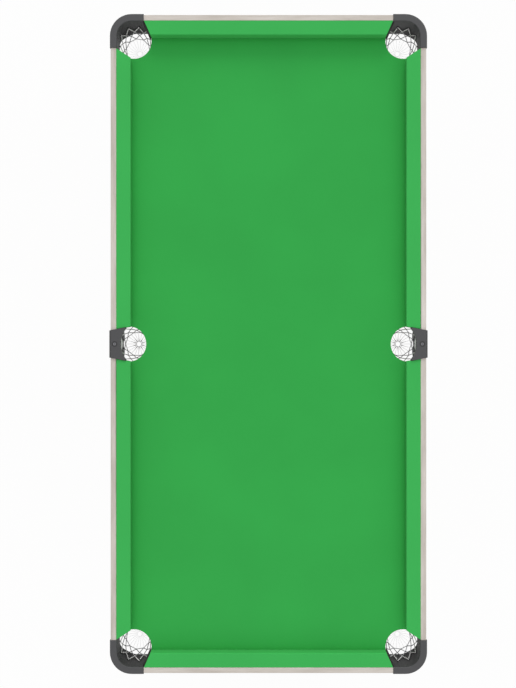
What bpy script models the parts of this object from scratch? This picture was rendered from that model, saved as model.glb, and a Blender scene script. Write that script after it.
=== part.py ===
"""Billiard table with net pockets and folding steel legs.

The origin is on the floor below the middle of the table. +X runs across the width, +Y along the length
to the head end and +Z up. Lengths are in metres.
"""

import math

import bmesh
import bpy
from mathutils import Matrix

MM = 0.001

# Clearances
FIT_GAP = 0.3 * MM  # between pieces that touch
RUNNING_GAP = 0.3 * MM  # round a shaft that turns or slides in a hole
OVERSHOOT = 2 * MM  # how far a cutter runs past the face that it opens

# Boards round the bed
RAIL_HEIGHT = 762 * MM  # floor to the top of the boards
TABLE_LENGTH = 1520 * MM  # over the end boards
TABLE_WIDTH = 729 * MM  # over the side boards
BOARD_THICKNESS = 13 * MM
BOARD_HEIGHT = 66 * MM
BOARD_EDGE = 0.8 * MM
BOARD_END_GAP = 2.5 * MM  # from the end of a board to the centre line of the corner pocket

# Bed
BED_DROP = 28 * MM  # top of the boards down to the cloth
CLOTH_THICKNESS = 1 * MM
BED_THICKNESS = 12 * MM

# Corner caps
CAP_PROUD = 1.5 * MM  # outer face beyond the boards
CAP_RADIUS = 50 * MM  # outer corner
CAP_INNER_WALL = 1.8 * MM  # inside the boards
CAP_LEG = 78 * MM  # outer corner to the end of a leg
CAP_LIP = 2 * MM
CAP_EDGE = 1.2 * MM
BED_HOLE_MARGIN = 8.6 * MM  # bed hole beyond the inner wall of the cap
NOTCH_CLEARANCE = 1 * MM  # bed to a cap wall that passes it
CAP_CUT_DROP = 31 * MM  # top of the boards to where the inner wall ends by a side board
CAP_CUT_SET_BACK = 8.5 * MM  # pocket's centre line to where that wall starts to grow deeper

# Nets, held by the cap walls and under the bed
NET_REACH = 44.5 * MM  # axis to the rim under the bed
NET_CLEARANCE = 0.6 * MM  # rim to the cap wall
NET_DEPTH = 61 * MM
NET_WALL = 1.5 * MM
NET_FOOT_RADIUS = 30.8 * MM
SIDE_NET_INSET = 29.5 * MM  # back wall of a side cap to the axis of its net

# Side pocket caps
SIDE_POCKET_INSET = 23.1 * MM  # inner face of the board to the centre of the bed hole
SIDE_CAP_PROUD = 3.2 * MM
SIDE_CAP_DEPTH = 38 * MM  # outer edge to the tips of the horns
SIDE_CAP_WAIST = 24.9 * MM  # outer edge to the deepest point of the hollow
SIDE_CAP_OUTER_WIDTH = 62.8 * MM
SIDE_CAP_INNER_WIDTH = 76.6 * MM
SIDE_CAP_TIP = 2 * MM  # width of a horn's tip
SIDE_CAP_LIP = 2.6 * MM
SIDE_CAP_CHAMFER = 5 * MM
SIDE_CAP_CHAMFER_DROP = 4 * MM
SIDE_CAP_SKIRT = 40 * MM
SIDE_CAP_RIM = 10 * MM  # depth of the part between the cushions
SIDE_CAP_WALL = 2.2 * MM
BACK_WALL_SET_IN = 2.3 * MM  # inner face of the board to the back wall
BACK_WALL_WIDTH = 60 * MM

# Screw of a side pocket cap
SCREW_SET_IN = 3.3 * MM  # inner face of the board to the screw
SCREW_RADIUS = 1.8 * MM
SCREW_LENGTH = 15 * MM
SCREW_HEAD_RADIUS = 4 * MM
SCREW_HEAD_HEIGHT = 1.5 * MM
SCREW_CROSS_WIDTH = 1 * MM
SCREW_CROSS_DEPTH = 0.8 * MM
SCREW_SEAT = 1.1 * MM  # cap left under the head
SCREW_RECESS_CLEARANCE = 1.3 * MM

# Cushions
CUSHION_DEPTH = 32.8 * MM  # inner face of the board to the nose
CUSHION_NOSE = 5 * MM  # height of the nose
CUSHION_HEEL = 29 * MM  # depth of the foot that stands on the bed
CUSHION_EDGE = 1.5 * MM  # rounding over the nose
CUSHION_CLOTH = 1 * MM
STRIP_DEPTH = 12 * MM  # wooden strip behind the rubber
END_CUT = 14.7 * MM  # how far the nose of an end cushion falls short of its back at a corner
CORNER_CUT = 21.4 * MM  # the same for a side cushion
SIDE_MOUTH = 69.6 * MM  # between the cushions at a side pocket, along the board
SIDE_MOUTH_NOSE = 81.6 * MM  # the same at the nose

# Leg battens and brackets
BATTEN_THICKNESS = 15 * MM
BATTEN_MARGIN = 8 * MM  # batten beyond the bracket at both its edges
BATTEN_CLEARANCE = 5.5 * MM  # end of a batten to the net
BRACKET_SET_IN = 15 * MM  # end of a batten to the bracket
BRACKET_STEEL = 3 * MM
BRACKET_FLANGE = 33 * MM
BRACKET_BACK = 22 * MM  # pivot to the outer edge of a bracket
BRACKET_MARGIN = 8 * MM  # steel outside the slot
BRACKET_SCREW_RADIUS = 2.5 * MM
BRACKET_SCREW_SPACING = 58 * MM
SIDE_PLAY = 0.5 * MM  # leg to bracket

# Folding legs
LEG_SET_IN = 54 * MM  # outer face of the end board to the pivot
PIVOT_DROP = 19 * MM  # underside of the bracket's flange to the pivot
PIVOT_RADIUS = 14 * MM
PIVOT_OVERHANG = 5 * MM
TUBE_WALL = 1.5 * MM
LEG_RADIUS = 12.5 * MM
LEG_BUSH = 34 * MM  # threaded bush in the foot of a leg
STRETCHER_RADIUS = 11 * MM
STRETCHER_HEIGHT = 180 * MM

# Lock knobs
LOCK_RADIUS = 45 * MM  # pivot to the knob's stud
STUD_RADIUS = 4 * MM
STUD_BITE = 8 * MM  # how far the stud reaches into the leg
SLOT_PLAY = 0.5 * MM  # stud to the sides of its slot
FOLD_ANGLE = math.radians(90)
KNOB_RADIUS = 16 * MM
KNOB_HEIGHT = 13 * MM
KNOB_LOBES = 5
KNOB_LOBE_DEPTH = 4 * MM
KNOB_EDGE = 1.5 * MM
COLLAR_RADIUS = 8 * MM
COLLAR_HEIGHT = 4 * MM

# Levelling feet
FOOT_RADIUS = 20 * MM
FOOT_HEIGHT = 8 * MM
FOOT_EDGE = 2 * MM
FOOT_NECK_RADIUS = 8.5 * MM
FOOT_NECK_HEIGHT = 6 * MM
FOOT_STEM_RADIUS = 5 * MM
FOOT_STEM_LENGTH = 30 * MM

# Facets of round pieces
ARC_STEPS = 10
ROUND_SIDES = 24
SMALL_SIDES = 16
NET_SIDES = 12

# Places that follow from the sizes
INNER_X = TABLE_WIDTH / 2 - BOARD_THICKNESS
INNER_Y = TABLE_LENGTH / 2 - BOARD_THICKNESS
CLOTH_TOP = RAIL_HEIGHT - BED_DROP
BED_TOP = CLOTH_TOP - CLOTH_THICKNESS - FIT_GAP
BED_BOTTOM = BED_TOP - BED_THICKNESS
CORNER_INSET = CAP_RADIUS - CAP_PROUD - BOARD_THICKNESS
CORNER_X = INNER_X - CORNER_INSET
CORNER_Y = INNER_Y - CORNER_INSET
CAP_INNER_RADIUS = CORNER_INSET - CAP_INNER_WALL
CAP_LEG_RUN = CAP_LEG - CAP_RADIUS
BED_HOLE_RADIUS = CAP_INNER_RADIUS + BED_HOLE_MARGIN
NET_TOP = BED_BOTTOM - FIT_GAP
SIDE_X = INNER_X - SIDE_POCKET_INSET
BACK_WALL_X = INNER_X - BACK_WALL_SET_IN - SIDE_CAP_WALL
SIDE_NET_X = BACK_WALL_X - SIDE_NET_INSET
SCREW_X = INNER_X + SCREW_SET_IN
BATTEN_BOTTOM = BED_BOTTOM - FIT_GAP - BATTEN_THICKNESS
FLANGE_TOP = BATTEN_BOTTOM - FIT_GAP
PIVOT_Y = TABLE_LENGTH / 2 - LEG_SET_IN
PIVOT_Z = FLANGE_TOP - BRACKET_STEEL - PIVOT_DROP
BRACKET_RADIUS = LOCK_RADIUS + STUD_RADIUS + SLOT_PLAY + BRACKET_MARGIN
BATTEN_X = CORNER_X - NET_REACH - BATTEN_CLEARANCE
CHEEK_X = BATTEN_X - BRACKET_SET_IN - BRACKET_STEEL
LEG_X = CHEEK_X - SIDE_PLAY - LEG_RADIUS
KNOB_X = CHEEK_X + BRACKET_STEEL + FIT_GAP
LEG_FOOT = FOOT_HEIGHT + FOOT_NECK_HEIGHT + FIT_GAP
HALF_TURN = math.pi
QUARTER_TURN = math.pi / 2
EIGHTH_TURN = math.pi / 4


def clear_scene():
    """Remove every object that the file opens with."""
    for obj in list(bpy.data.objects):
        bpy.data.objects.remove(obj)


def new_collection(name):
    """Add a collection to the scene."""
    collection = bpy.data.collections.new(name)
    bpy.context.scene.collection.children.link(collection)
    return collection


def linear(level):
    """The linear value of an 8-bit sRGB level."""
    share = level / 255
    return share / 12.92 if share <= 0.04045 else ((share + 0.055) / 1.055) ** 2.4


def new_material(name, colour, roughness, metallic=0.0):
    """A Principled material with an 8-bit sRGB colour."""
    material = bpy.data.materials.new(name)
    material.use_nodes = True
    shader = material.node_tree.nodes["Principled BSDF"]
    shader.inputs["Base Color"].default_value = (*map(linear, colour), 1)
    shader.inputs["Roughness"].default_value = roughness
    shader.inputs["Metallic"].default_value = metallic
    return material


def circle(radius, sides, centre=(0, 0)):
    """Points round a circle."""
    turns = [2 * math.pi * i / sides for i in range(sides)]
    return [(centre[0] + radius * math.cos(t), centre[1] + radius * math.sin(t)) for t in turns]


def arc(radius, start, end, steps, centre=(0, 0)):
    """Points along an arc, both ends included."""
    turns = [start + (end - start) * i / steps for i in range(steps + 1)]
    return [(centre[0] + radius * math.cos(t), centre[1] + radius * math.sin(t)) for t in turns]


def hole_radius(shaft_radius, sides, clearance):
    """Radius of a faceted hole whose flats clear a shaft all round."""
    return (shaft_radius + clearance) / math.cos(math.pi / sides)


def evaluated_mesh(obj):
    """The mesh of an object with its modifiers applied and its doubles merged. The object is removed."""
    bpy.context.view_layer.update()
    graph = bpy.context.evaluated_depsgraph_get()
    mesh = bpy.data.meshes.new_from_object(obj.evaluated_get(graph))
    mesh.transform(obj.matrix_world)
    bpy.data.objects.remove(obj)
    shape = bmesh.new()
    shape.from_mesh(mesh)
    bmesh.ops.remove_doubles(shape, verts=shape.verts, dist=0.001 * MM)
    bmesh.ops.recalc_face_normals(shape, faces=shape.faces)
    shape.to_mesh(mesh)
    shape.free()
    return mesh


def helper(name, data):
    """A hidden object in the cutters' collection."""
    obj = bpy.data.objects.new(name, data)
    obj.hide_render = True
    obj.display_type = "WIRE"
    CUTTERS.objects.link(obj)
    return obj


def slab(loops, thickness, matrix=Matrix()):
    """A flat outline with its holes, as a slab centred on its plane and placed by a matrix."""
    curve = bpy.data.curves.new("outline", "CURVE")
    curve.dimensions = "2D"
    curve.fill_mode = "BOTH"
    curve.extrude = thickness / 2
    for loop in loops:
        spline = curve.splines.new("POLY")
        spline.points.add(len(loop) - 1)
        for point, (x, y) in zip(spline.points, loop):
            point.co = (x, y, 0, 1)
        spline.use_cyclic_u = True
    mesh = evaluated_mesh(helper("outline", curve))
    mesh.transform(matrix)
    return mesh


def block(low, high):
    """A box between two corners."""
    shape = bmesh.new()
    size = [b - a for a, b in zip(low, high)]
    middle = [(a + b) / 2 for a, b in zip(low, high)]
    bmesh.ops.create_cube(shape, matrix=Matrix.Translation(middle) @ Matrix.Diagonal((*size, 1)))
    mesh = bpy.data.meshes.new("block")
    shape.to_mesh(mesh)
    shape.free()
    return mesh


def rod(radius, low, high, sides=ROUND_SIDES, matrix=Matrix()):
    """A cylinder along Z between two heights, placed by a matrix."""
    shape = bmesh.new()
    place = matrix @ Matrix.Translation((0, 0, (low + high) / 2))
    bmesh.ops.create_cone(
        shape, cap_ends=True, segments=sides, radius1=radius, radius2=radius, depth=high - low, matrix=place
    )
    mesh = bpy.data.meshes.new("rod")
    shape.to_mesh(mesh)
    shape.free()
    return mesh


def turned(profile, steps):
    """A profile of radius and height, outer side running down, turned about Z."""
    mesh = bpy.data.meshes.new("turned")
    points = [(radius, 0, height) for radius, height in profile]
    mesh.from_pydata(points, [(i, i + 1) for i in range(len(points) - 1)], [])
    obj = helper("turned", mesh)
    screw = obj.modifiers.new("Turn", "SCREW")
    screw.steps = steps
    screw.render_steps = steps
    screw.use_merge_vertices = True
    screw.merge_threshold = 0.01 * MM
    return evaluated_mesh(obj)


def combined(mesh, operation, *others):
    """A mesh joined with, or cut by, other meshes one after another."""
    for other in others:
        obj = helper("body", mesh)
        tool = helper("tool", other)
        boolean = obj.modifiers.new(operation.title(), "BOOLEAN")
        boolean.operation = operation
        boolean.object = tool
        mesh = evaluated_mesh(obj)
        bpy.data.objects.remove(tool)
    return mesh


def rim_bevelled(mesh, height, width):
    """A slab with the rim of its face at one height bevelled."""
    shape = bmesh.new()
    shape.from_mesh(mesh)
    bmesh.ops.dissolve_limit(shape, angle_limit=math.radians(0.5), verts=shape.verts, edges=shape.edges)
    rim = [e for e in shape.edges if all(abs(v.co.z - height) < 0.01 * MM for v in e.verts)]
    bmesh.ops.bevel(shape, geom=rim, offset=width, segments=1, affect="EDGES")
    shape.to_mesh(mesh)
    shape.free()
    return mesh


def add_part(name, mesh, material, location=(0, 0, 0), turn=0.0, parent=None):
    """One named piece, turned about the vertical and placed, under a parent if it has one."""
    if name != mesh.name:
        mesh = mesh.copy()
        mesh.name = name
    mesh.materials.clear()
    mesh.materials.append(material)
    obj = bpy.data.objects.new(name, mesh)
    obj.location = location
    obj.rotation_euler = (0, 0, turn)
    obj.parent = parent
    PARTS.objects.link(obj)
    return obj


def add_axis(name, location):
    """An empty on the axis of a joint."""
    empty = bpy.data.objects.new(name, None)
    empty.empty_display_size = 50 * MM
    empty.location = location
    PARTS.objects.link(empty)
    return empty


def smooth(mesh, angle=35):
    """Shade a round piece smooth up to an angle in degrees."""
    mesh.shade_smooth()
    mesh.set_sharp_from_angle(angle=math.radians(angle))
    return mesh


def add_bevel(obj, width):
    """Round the edges of a piece."""
    bevel = obj.modifiers.new("Edge", "BEVEL")
    bevel.width = width
    bevel.segments = 1
    bevel.limit_method = "ANGLE"


def build_boards():
    """Four boards that end inside the corner caps. The side boards take the screws of the side caps."""
    wood = new_material("whitewashed_board", (203, 195, 186), 0.55)
    low = RAIL_HEIGHT - BOARD_HEIGHT
    side_end = CORNER_Y - BOARD_END_GAP
    end_end = CORNER_X - BOARD_END_GAP
    side = block((INNER_X, -side_end, low), (TABLE_WIDTH / 2, side_end, RAIL_HEIGHT))
    pilot = rod(
        hole_radius(SCREW_RADIUS, SMALL_SIDES, FIT_GAP),
        RAIL_HEIGHT + SCREW_SEAT - SCREW_LENGTH - OVERSHOOT,
        RAIL_HEIGHT + OVERSHOOT,
        SMALL_SIDES,
        Matrix.Translation((SCREW_X, 0, 0)),
    )
    side = combined(side, "DIFFERENCE", pilot)
    end = block((-end_end, INNER_Y, low), (end_end, TABLE_LENGTH / 2, RAIL_HEIGHT))
    for name, mesh, turn in (
        ("side_board_right", side, 0),
        ("side_board_left", side, HALF_TURN),
        ("end_board_head", end, 0),
        ("end_board_foot", end, HALF_TURN),
    ):
        add_bevel(add_part(name, mesh, wood, turn=turn), BOARD_EDGE)


def pocket_cutters():
    """Cutters that open the bed for the pockets and for the cap walls that pass it."""
    low = BED_BOTTOM - OVERSHOOT
    high = CLOTH_TOP + OVERSHOOT
    wall = CAP_INNER_RADIUS - NOTCH_CLEARANCE
    leg = CAP_LEG_RUN + NOTCH_CLEARANCE
    past = CORNER_INSET + OVERSHOOT
    corner = combined(
        rod(BED_HOLE_RADIUS, low, high, 2 * ROUND_SIDES),
        "UNION",
        block((0, 0, low), (past, past, high)),
        block((wall, -leg, low), (past, past, high)),
        block((-leg, wall, low), (past, past, high)),
    )
    for quarter, (x, y) in enumerate(CORNERS):
        cutter = helper(f"corner_cutter_{quarter}", corner)
        cutter.location = (x, y, 0)
        cutter.rotation_euler = (0, 0, quarter * QUARTER_TURN)
    half = BACK_WALL_WIDTH / 2 + NOTCH_CLEARANCE
    side = combined(
        rod(BED_HOLE_RADIUS, low, high, 2 * ROUND_SIDES, Matrix.Translation((SIDE_X, 0, 0))),
        "UNION",
        block((SIDE_X, -half, low), (INNER_X + OVERSHOOT, half, high)),
    )
    for end in (0, 1):
        cutter = helper(f"side_cutter_{end}", side)
        cutter.rotation_euler = (0, 0, end * HALF_TURN)
    return list(CUTTERS.objects)


def build_bed():
    """The bed board and the cloth stretched over it, both open at the six pockets."""
    cutters = pocket_cutters()
    x = INNER_X - FIT_GAP
    y = INNER_Y - FIT_GAP
    board = block((-x, -y, BED_BOTTOM), (x, y, BED_TOP))
    cloth = block((-x, -y, CLOTH_TOP - CLOTH_THICKNESS), (x, y, CLOTH_TOP))
    fibreboard = new_material("fibreboard", (150, 118, 84), 0.8)
    green = new_material("bed_cloth", (55, 166, 76), 0.95)
    for name, mesh, material in (("bed_board", board, fibreboard), ("bed_cloth", cloth, green)):
        obj = add_part(name, mesh, material)
        for cutter in cutters:
            boolean = obj.modifiers.new(cutter.name, "BOOLEAN")
            boolean.operation = "DIFFERENCE"
            boolean.object = cutter


def cushion_section(inset, back, front=None):
    """A cushion's section as depth from the board and height, drawn in by an inset, between two depths."""
    bottom = CLOTH_TOP + FIT_GAP
    nose_low = RAIL_HEIGHT - CUSHION_NOSE
    lean = (CUSHION_DEPTH - CUSHION_HEEL) / (nose_low - bottom)
    heel = CUSHION_HEEL - inset * math.hypot(1, lean)
    nose = CUSHION_DEPTH - inset
    low = bottom + inset
    top = RAIL_HEIGHT - inset
    if front is not None:
        return [(back, low), (front, low), (front, top), (back, top)]
    return [
        (back, low),
        (heel + lean * inset, low),
        (nose, bottom + (nose - heel) / lean),
        (nose, top - CUSHION_EDGE),
        (nose - CUSHION_EDGE, top),
        (back, top),
    ]


def cushion_prism(section, inset, low_end, high_end):
    """A section run along X between two saw cuts, each a place at the board and its slope inwards."""
    upright = Matrix(((0, 0, 1, 0), (1, 0, 0, 0), (0, 1, 0, 0), (0, 0, 0, 1)))
    mesh = slab([section], 1, upright)
    for vertex in mesh.vertices:
        place, slope = high_end if vertex.co.x > 0 else low_end
        side = 1 if vertex.co.x > 0 else -1
        vertex.co.x = place - side * (slope * vertex.co.y + inset * math.hypot(1, slope))
    return mesh


def build_cushions():
    """Six cushions, each a wooden strip, a rubber nose and a cloth cover that is open at the board."""
    wood = new_material("cushion_strip", (196, 164, 120), 0.7)
    rubber = new_material("cushion_rubber", (60, 56, 52), 0.8)
    green = new_material("cushion_cloth", (62, 176, 86), 0.95)
    end_slope = END_CUT / CUSHION_DEPTH
    corner_slope = CORNER_CUT / CUSHION_DEPTH
    side_slope = (SIDE_MOUTH_NOSE - SIDE_MOUTH) / 2 / CUSHION_DEPTH
    x = CORNER_X - CAP_LEG_RUN - FIT_GAP
    y = CORNER_Y - CAP_LEG_RUN - FIT_GAP
    cuts = {
        "end": ((-x, end_slope), (x, end_slope)),
        "after": ((SIDE_MOUTH / 2, side_slope), (y, corner_slope)),
        "before": ((-y, corner_slope), (-SIDE_MOUTH / 2, side_slope)),
    }
    places = (
        ("head_end", "end", (0, INNER_Y, 0), HALF_TURN),
        ("foot_end", "end", (0, -INNER_Y, 0), 0),
        ("head_right", "after", (INNER_X, 0, 0), QUARTER_TURN),
        ("foot_right", "before", (INNER_X, 0, 0), QUARTER_TURN),
        ("foot_left", "after", (-INNER_X, 0, 0), -QUARTER_TURN),
        ("head_left", "before", (-INNER_X, 0, 0), -QUARTER_TURN),
    )
    inside = CUSHION_CLOTH + FIT_GAP
    layers = {}
    for kind, (low, high) in cuts.items():
        strip_section = cushion_section(inside, FIT_GAP, STRIP_DEPTH)
        rubber_section = cushion_section(inside, STRIP_DEPTH + FIT_GAP)
        cover = cushion_prism(cushion_section(0, FIT_GAP), 0, low, high)
        room = cushion_prism(cushion_section(CUSHION_CLOTH, -OVERSHOOT), CUSHION_CLOTH, low, high)
        layers[kind] = (
            ("strip", cushion_prism(strip_section, inside, low, high), wood),
            ("rubber", cushion_prism(rubber_section, inside, low, high), rubber),
            ("cloth", combined(cover, "DIFFERENCE", room), green),
        )
    for name, kind, location, turn in places:
        for layer, mesh, material in layers[kind]:
            add_part(f"cushion_{layer}_{name}", mesh, material, location, turn)


def corner_band(inner, outer, run):
    """Plan of a band round a corner pocket, with a straight run at both ends."""
    return [
        (outer, -run),
        *arc(outer, 0, QUARTER_TURN, ARC_STEPS),
        (-run, outer),
        (-run, inner),
        *arc(inner, QUARTER_TURN, 0, ARC_STEPS),
        (inner, -run),
    ]


def corner_cap(aside):
    """A cap about its pocket's centre: a channel down over two boards, round the corner.

    Its inner wall is cut away below the bed by the side board, which lies across +X, or across +Y if aside.
    """
    high = RAIL_HEIGHT + FIT_GAP + CAP_LIP
    under = RAIL_HEIGHT + FIT_GAP
    low = RAIL_HEIGHT - BOARD_HEIGHT
    inner_back = CORNER_INSET - FIT_GAP
    outer_back = CORNER_INSET + BOARD_THICKNESS + FIT_GAP
    band = corner_band(CAP_INNER_RADIUS, CAP_RADIUS, CAP_LEG_RUN)
    body = slab([band], high - low, Matrix.Translation((0, 0, (high + low) / 2)))
    body = rim_bevelled(body, high, CAP_EDGE)
    channel = corner_band(inner_back, outer_back, CAP_LEG_RUN + OVERSHOOT)
    tall = 2 * BOARD_HEIGHT
    room = slab([channel], tall, Matrix.Translation((0, 0, under - tall / 2)))
    level = RAIL_HEIGHT - CAP_CUT_DROP
    floor = low - OVERSHOOT
    far = -CAP_LEG_RUN - OVERSHOOT
    near = -CAP_CUT_SET_BACK
    outline = [(far, floor), (near + level - floor, floor), (near, level), (far, level)]
    middle = CORNER_INSET * 3 / 4
    if aside:
        place = Matrix(((1, 0, 0, 0), (0, 0, -1, middle), (0, 1, 0, 0), (0, 0, 0, 1)))
    else:
        place = Matrix(((0, 0, 1, middle), (1, 0, 0, 0), (0, 1, 0, 0), (0, 0, 0, 1)))
    return combined(body, "DIFFERENCE", room, slab([outline], CORNER_INSET / 2, place))


def side_cap_outline(inset):
    """Plan of a side cap about the middle of the table: flared sides and a hollow between two horns."""
    outer = TABLE_WIDTH / 2 + SIDE_CAP_PROUD
    tips = outer - SIDE_CAP_DEPTH + inset
    rise = SIDE_CAP_DEPTH - SIDE_CAP_WAIST
    half = SIDE_CAP_INNER_WIDTH / 2 - SIDE_CAP_TIP
    radius = (half**2 + rise**2) / (2 * rise)
    centre = outer - SIDE_CAP_WAIST - radius
    reach = math.acos((tips - centre) / (radius + inset))
    return [
        (outer, -SIDE_CAP_OUTER_WIDTH / 2 + inset),
        (outer, SIDE_CAP_OUTER_WIDTH / 2 - inset),
        (tips, SIDE_CAP_INNER_WIDTH / 2 - inset),
        *arc(radius + inset, reach, -reach, ARC_STEPS, (centre, 0)),
        (tips, -SIDE_CAP_INNER_WIDTH / 2 + inset),
    ]


def side_cap():
    """A cap over the middle of the right side board, with its back wall."""
    outer = TABLE_WIDTH / 2 + SIDE_CAP_PROUD
    tips = outer - SIDE_CAP_DEPTH
    high = RAIL_HEIGHT + FIT_GAP + SIDE_CAP_LIP
    under = RAIL_HEIGHT + FIT_GAP
    rim = RAIL_HEIGHT - SIDE_CAP_RIM
    skirt = RAIL_HEIGHT - SIDE_CAP_SKIRT
    inner_face = INNER_X - FIT_GAP
    outer_face = TABLE_WIDTH / 2 + FIT_GAP
    section = [
        (tips - OVERSHOOT, rim),
        (inner_face, rim),
        (inner_face, under),
        (outer_face, under),
        (outer_face, skirt),
        (outer, skirt),
        (outer, high - SIDE_CAP_CHAMFER_DROP),
        (outer - SIDE_CAP_CHAMFER, high),
        (tips - OVERSHOOT, high),
    ]
    across = Matrix(((1, 0, 0, 0), (0, 0, -1, 0), (0, 1, 0, 0), (0, 0, 0, 1)))
    body = slab([section], SIDE_CAP_INNER_WIDTH + 2 * OVERSHOOT, across)
    tall = 2 * (SIDE_CAP_SKIRT + SIDE_CAP_LIP + OVERSHOOT)
    level = Matrix.Translation((0, 0, RAIL_HEIGHT))
    body = combined(body, "INTERSECT", slab([side_cap_outline(0)], tall, level))
    hollow = combined(
        slab([side_cap_outline(SIDE_CAP_WALL)], tall, Matrix.Translation((0, 0, under - tall / 2))),
        "INTERSECT",
        block((tips, -outer, 0), (inner_face - SIDE_CAP_WALL, outer, RAIL_HEIGHT)),
    )
    half = BACK_WALL_WIDTH / 2
    back_low = RAIL_HEIGHT - BOARD_HEIGHT
    back = block((BACK_WALL_X, -half, back_low), (BACK_WALL_X + SIDE_CAP_WALL, half, under))
    place = Matrix.Translation((SCREW_X, 0, 0))
    recess_radius = SCREW_HEAD_RADIUS + SCREW_RECESS_CLEARANCE
    recess = rod(recess_radius, under + SCREW_SEAT, high + OVERSHOOT, SMALL_SIDES, place)
    bore = rod(hole_radius(SCREW_RADIUS, SMALL_SIDES, FIT_GAP), RAIL_HEIGHT, high, SMALL_SIDES, place)
    body = combined(body, "DIFFERENCE", hollow, recess, bore)
    return combined(body, "UNION", back)


def cap_screw():
    """A pan-head screw with a cross recess, about its own axis, head down in the cap."""
    seat = RAIL_HEIGHT + FIT_GAP + SCREW_SEAT + FIT_GAP
    top = seat + SCREW_HEAD_HEIGHT
    head = SCREW_HEAD_RADIUS
    body = turned(
        [
            (0, top),
            (head - SCREW_CROSS_DEPTH, top),
            (head, top - SCREW_CROSS_DEPTH),
            (head, seat),
            (SCREW_RADIUS, seat),
            (SCREW_RADIUS, seat - SCREW_LENGTH + SCREW_RADIUS),
            (0, seat - SCREW_LENGTH),
        ],
        SMALL_SIDES,
    )
    long = head - SCREW_CROSS_DEPTH - SCREW_CROSS_WIDTH / 2
    wide = SCREW_CROSS_WIDTH / 2
    floor = top - SCREW_CROSS_DEPTH
    slots = (
        block((-long, -wide, floor), (long, wide, top + OVERSHOOT)),
        block((-wide, -long, floor), (wide, long, top + OVERSHOOT)),
    )
    return combined(body, "DIFFERENCE", *slots)


def net_bag(wall, wall_turn, facing):
    """A net as a plain cup with an open top, about its own axis.

    Its rim stays inside a cap wall at some distance, which is round up to a turn from the side that it faces
    and straight from there on, and is wider under the bed.
    """
    foot = NET_TOP - NET_DEPTH
    turns = [(2 * i + 1) * HALF_TURN / NET_SIDES for i in range(NET_SIDES)]
    rim = []
    for turn in turns:
        slant = math.cos(max(min(turn, 2 * HALF_TURN - turn) - wall_turn, 0))
        rim.append(min(NET_REACH, wall / slant) if slant > 0 else NET_REACH)
    low_rim = [min(NET_FOOT_RADIUS, radius) for radius in rim]
    rings = (
        ([radius - NET_WALL for radius in low_rim], foot + NET_WALL),
        ([radius - NET_WALL for radius in rim], NET_TOP),
        (rim, NET_TOP),
        (low_rim, foot),
    )
    points = []
    for radii, height in rings:
        for radius, turn in zip(radii, turns):
            points.append((radius * math.cos(turn + facing), radius * math.sin(turn + facing), height))
    faces = [tuple(range(NET_SIDES)), tuple(range(3 * NET_SIDES, 4 * NET_SIDES))]
    for start in range(0, 3 * NET_SIDES, NET_SIDES):
        for i in range(NET_SIDES):
            after = (i + 1) % NET_SIDES
            faces.append((start + i, start + after, start + NET_SIDES + after, start + NET_SIDES + i))
    mesh = bpy.data.meshes.new("net")
    mesh.from_pydata(points, [], faces)
    return evaluated_mesh(helper("net", mesh))


def build_pockets():
    """Corner caps, side caps with their screws, and the six nets."""
    plastic = new_material("cap_plastic", (88, 88, 90), 0.5)
    cord = new_material("net_cord", (120, 118, 122), 0.85)
    steel = new_material("cap_screw", (84, 84, 87), 0.35, 1.0)
    corner_pair = (smooth(corner_cap(aside=False)), smooth(corner_cap(aside=True)))
    side = smooth(side_cap())
    screw = smooth(cap_screw())
    corner_net = smooth(net_bag(CAP_INNER_RADIUS - NET_CLEARANCE, EIGHTH_TURN, EIGHTH_TURN))
    side_net = smooth(net_bag(SIDE_NET_INSET - NET_CLEARANCE, 0, 0))
    for quarter, (name, (x, y)) in enumerate(zip(CORNER_NAMES, CORNERS)):
        turn = quarter * QUARTER_TURN
        add_part(f"corner_cap_{name}", corner_pair[quarter % 2], plastic, (x, y, 0), turn)
        add_part(f"pocket_net_{name}", corner_net, cord, (x, y, 0), turn)
    for name, sign, turn in (("right", 1, 0), ("left", -1, HALF_TURN)):
        add_part(f"side_cap_{name}", side, plastic, turn=turn)
        add_part(f"side_cap_screw_{name}", screw, steel, (sign * SCREW_X, 0, 0))
        add_part(f"pocket_net_side_{name}", side_net, cord, (sign * SIDE_NET_X, 0, 0), turn)


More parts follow.
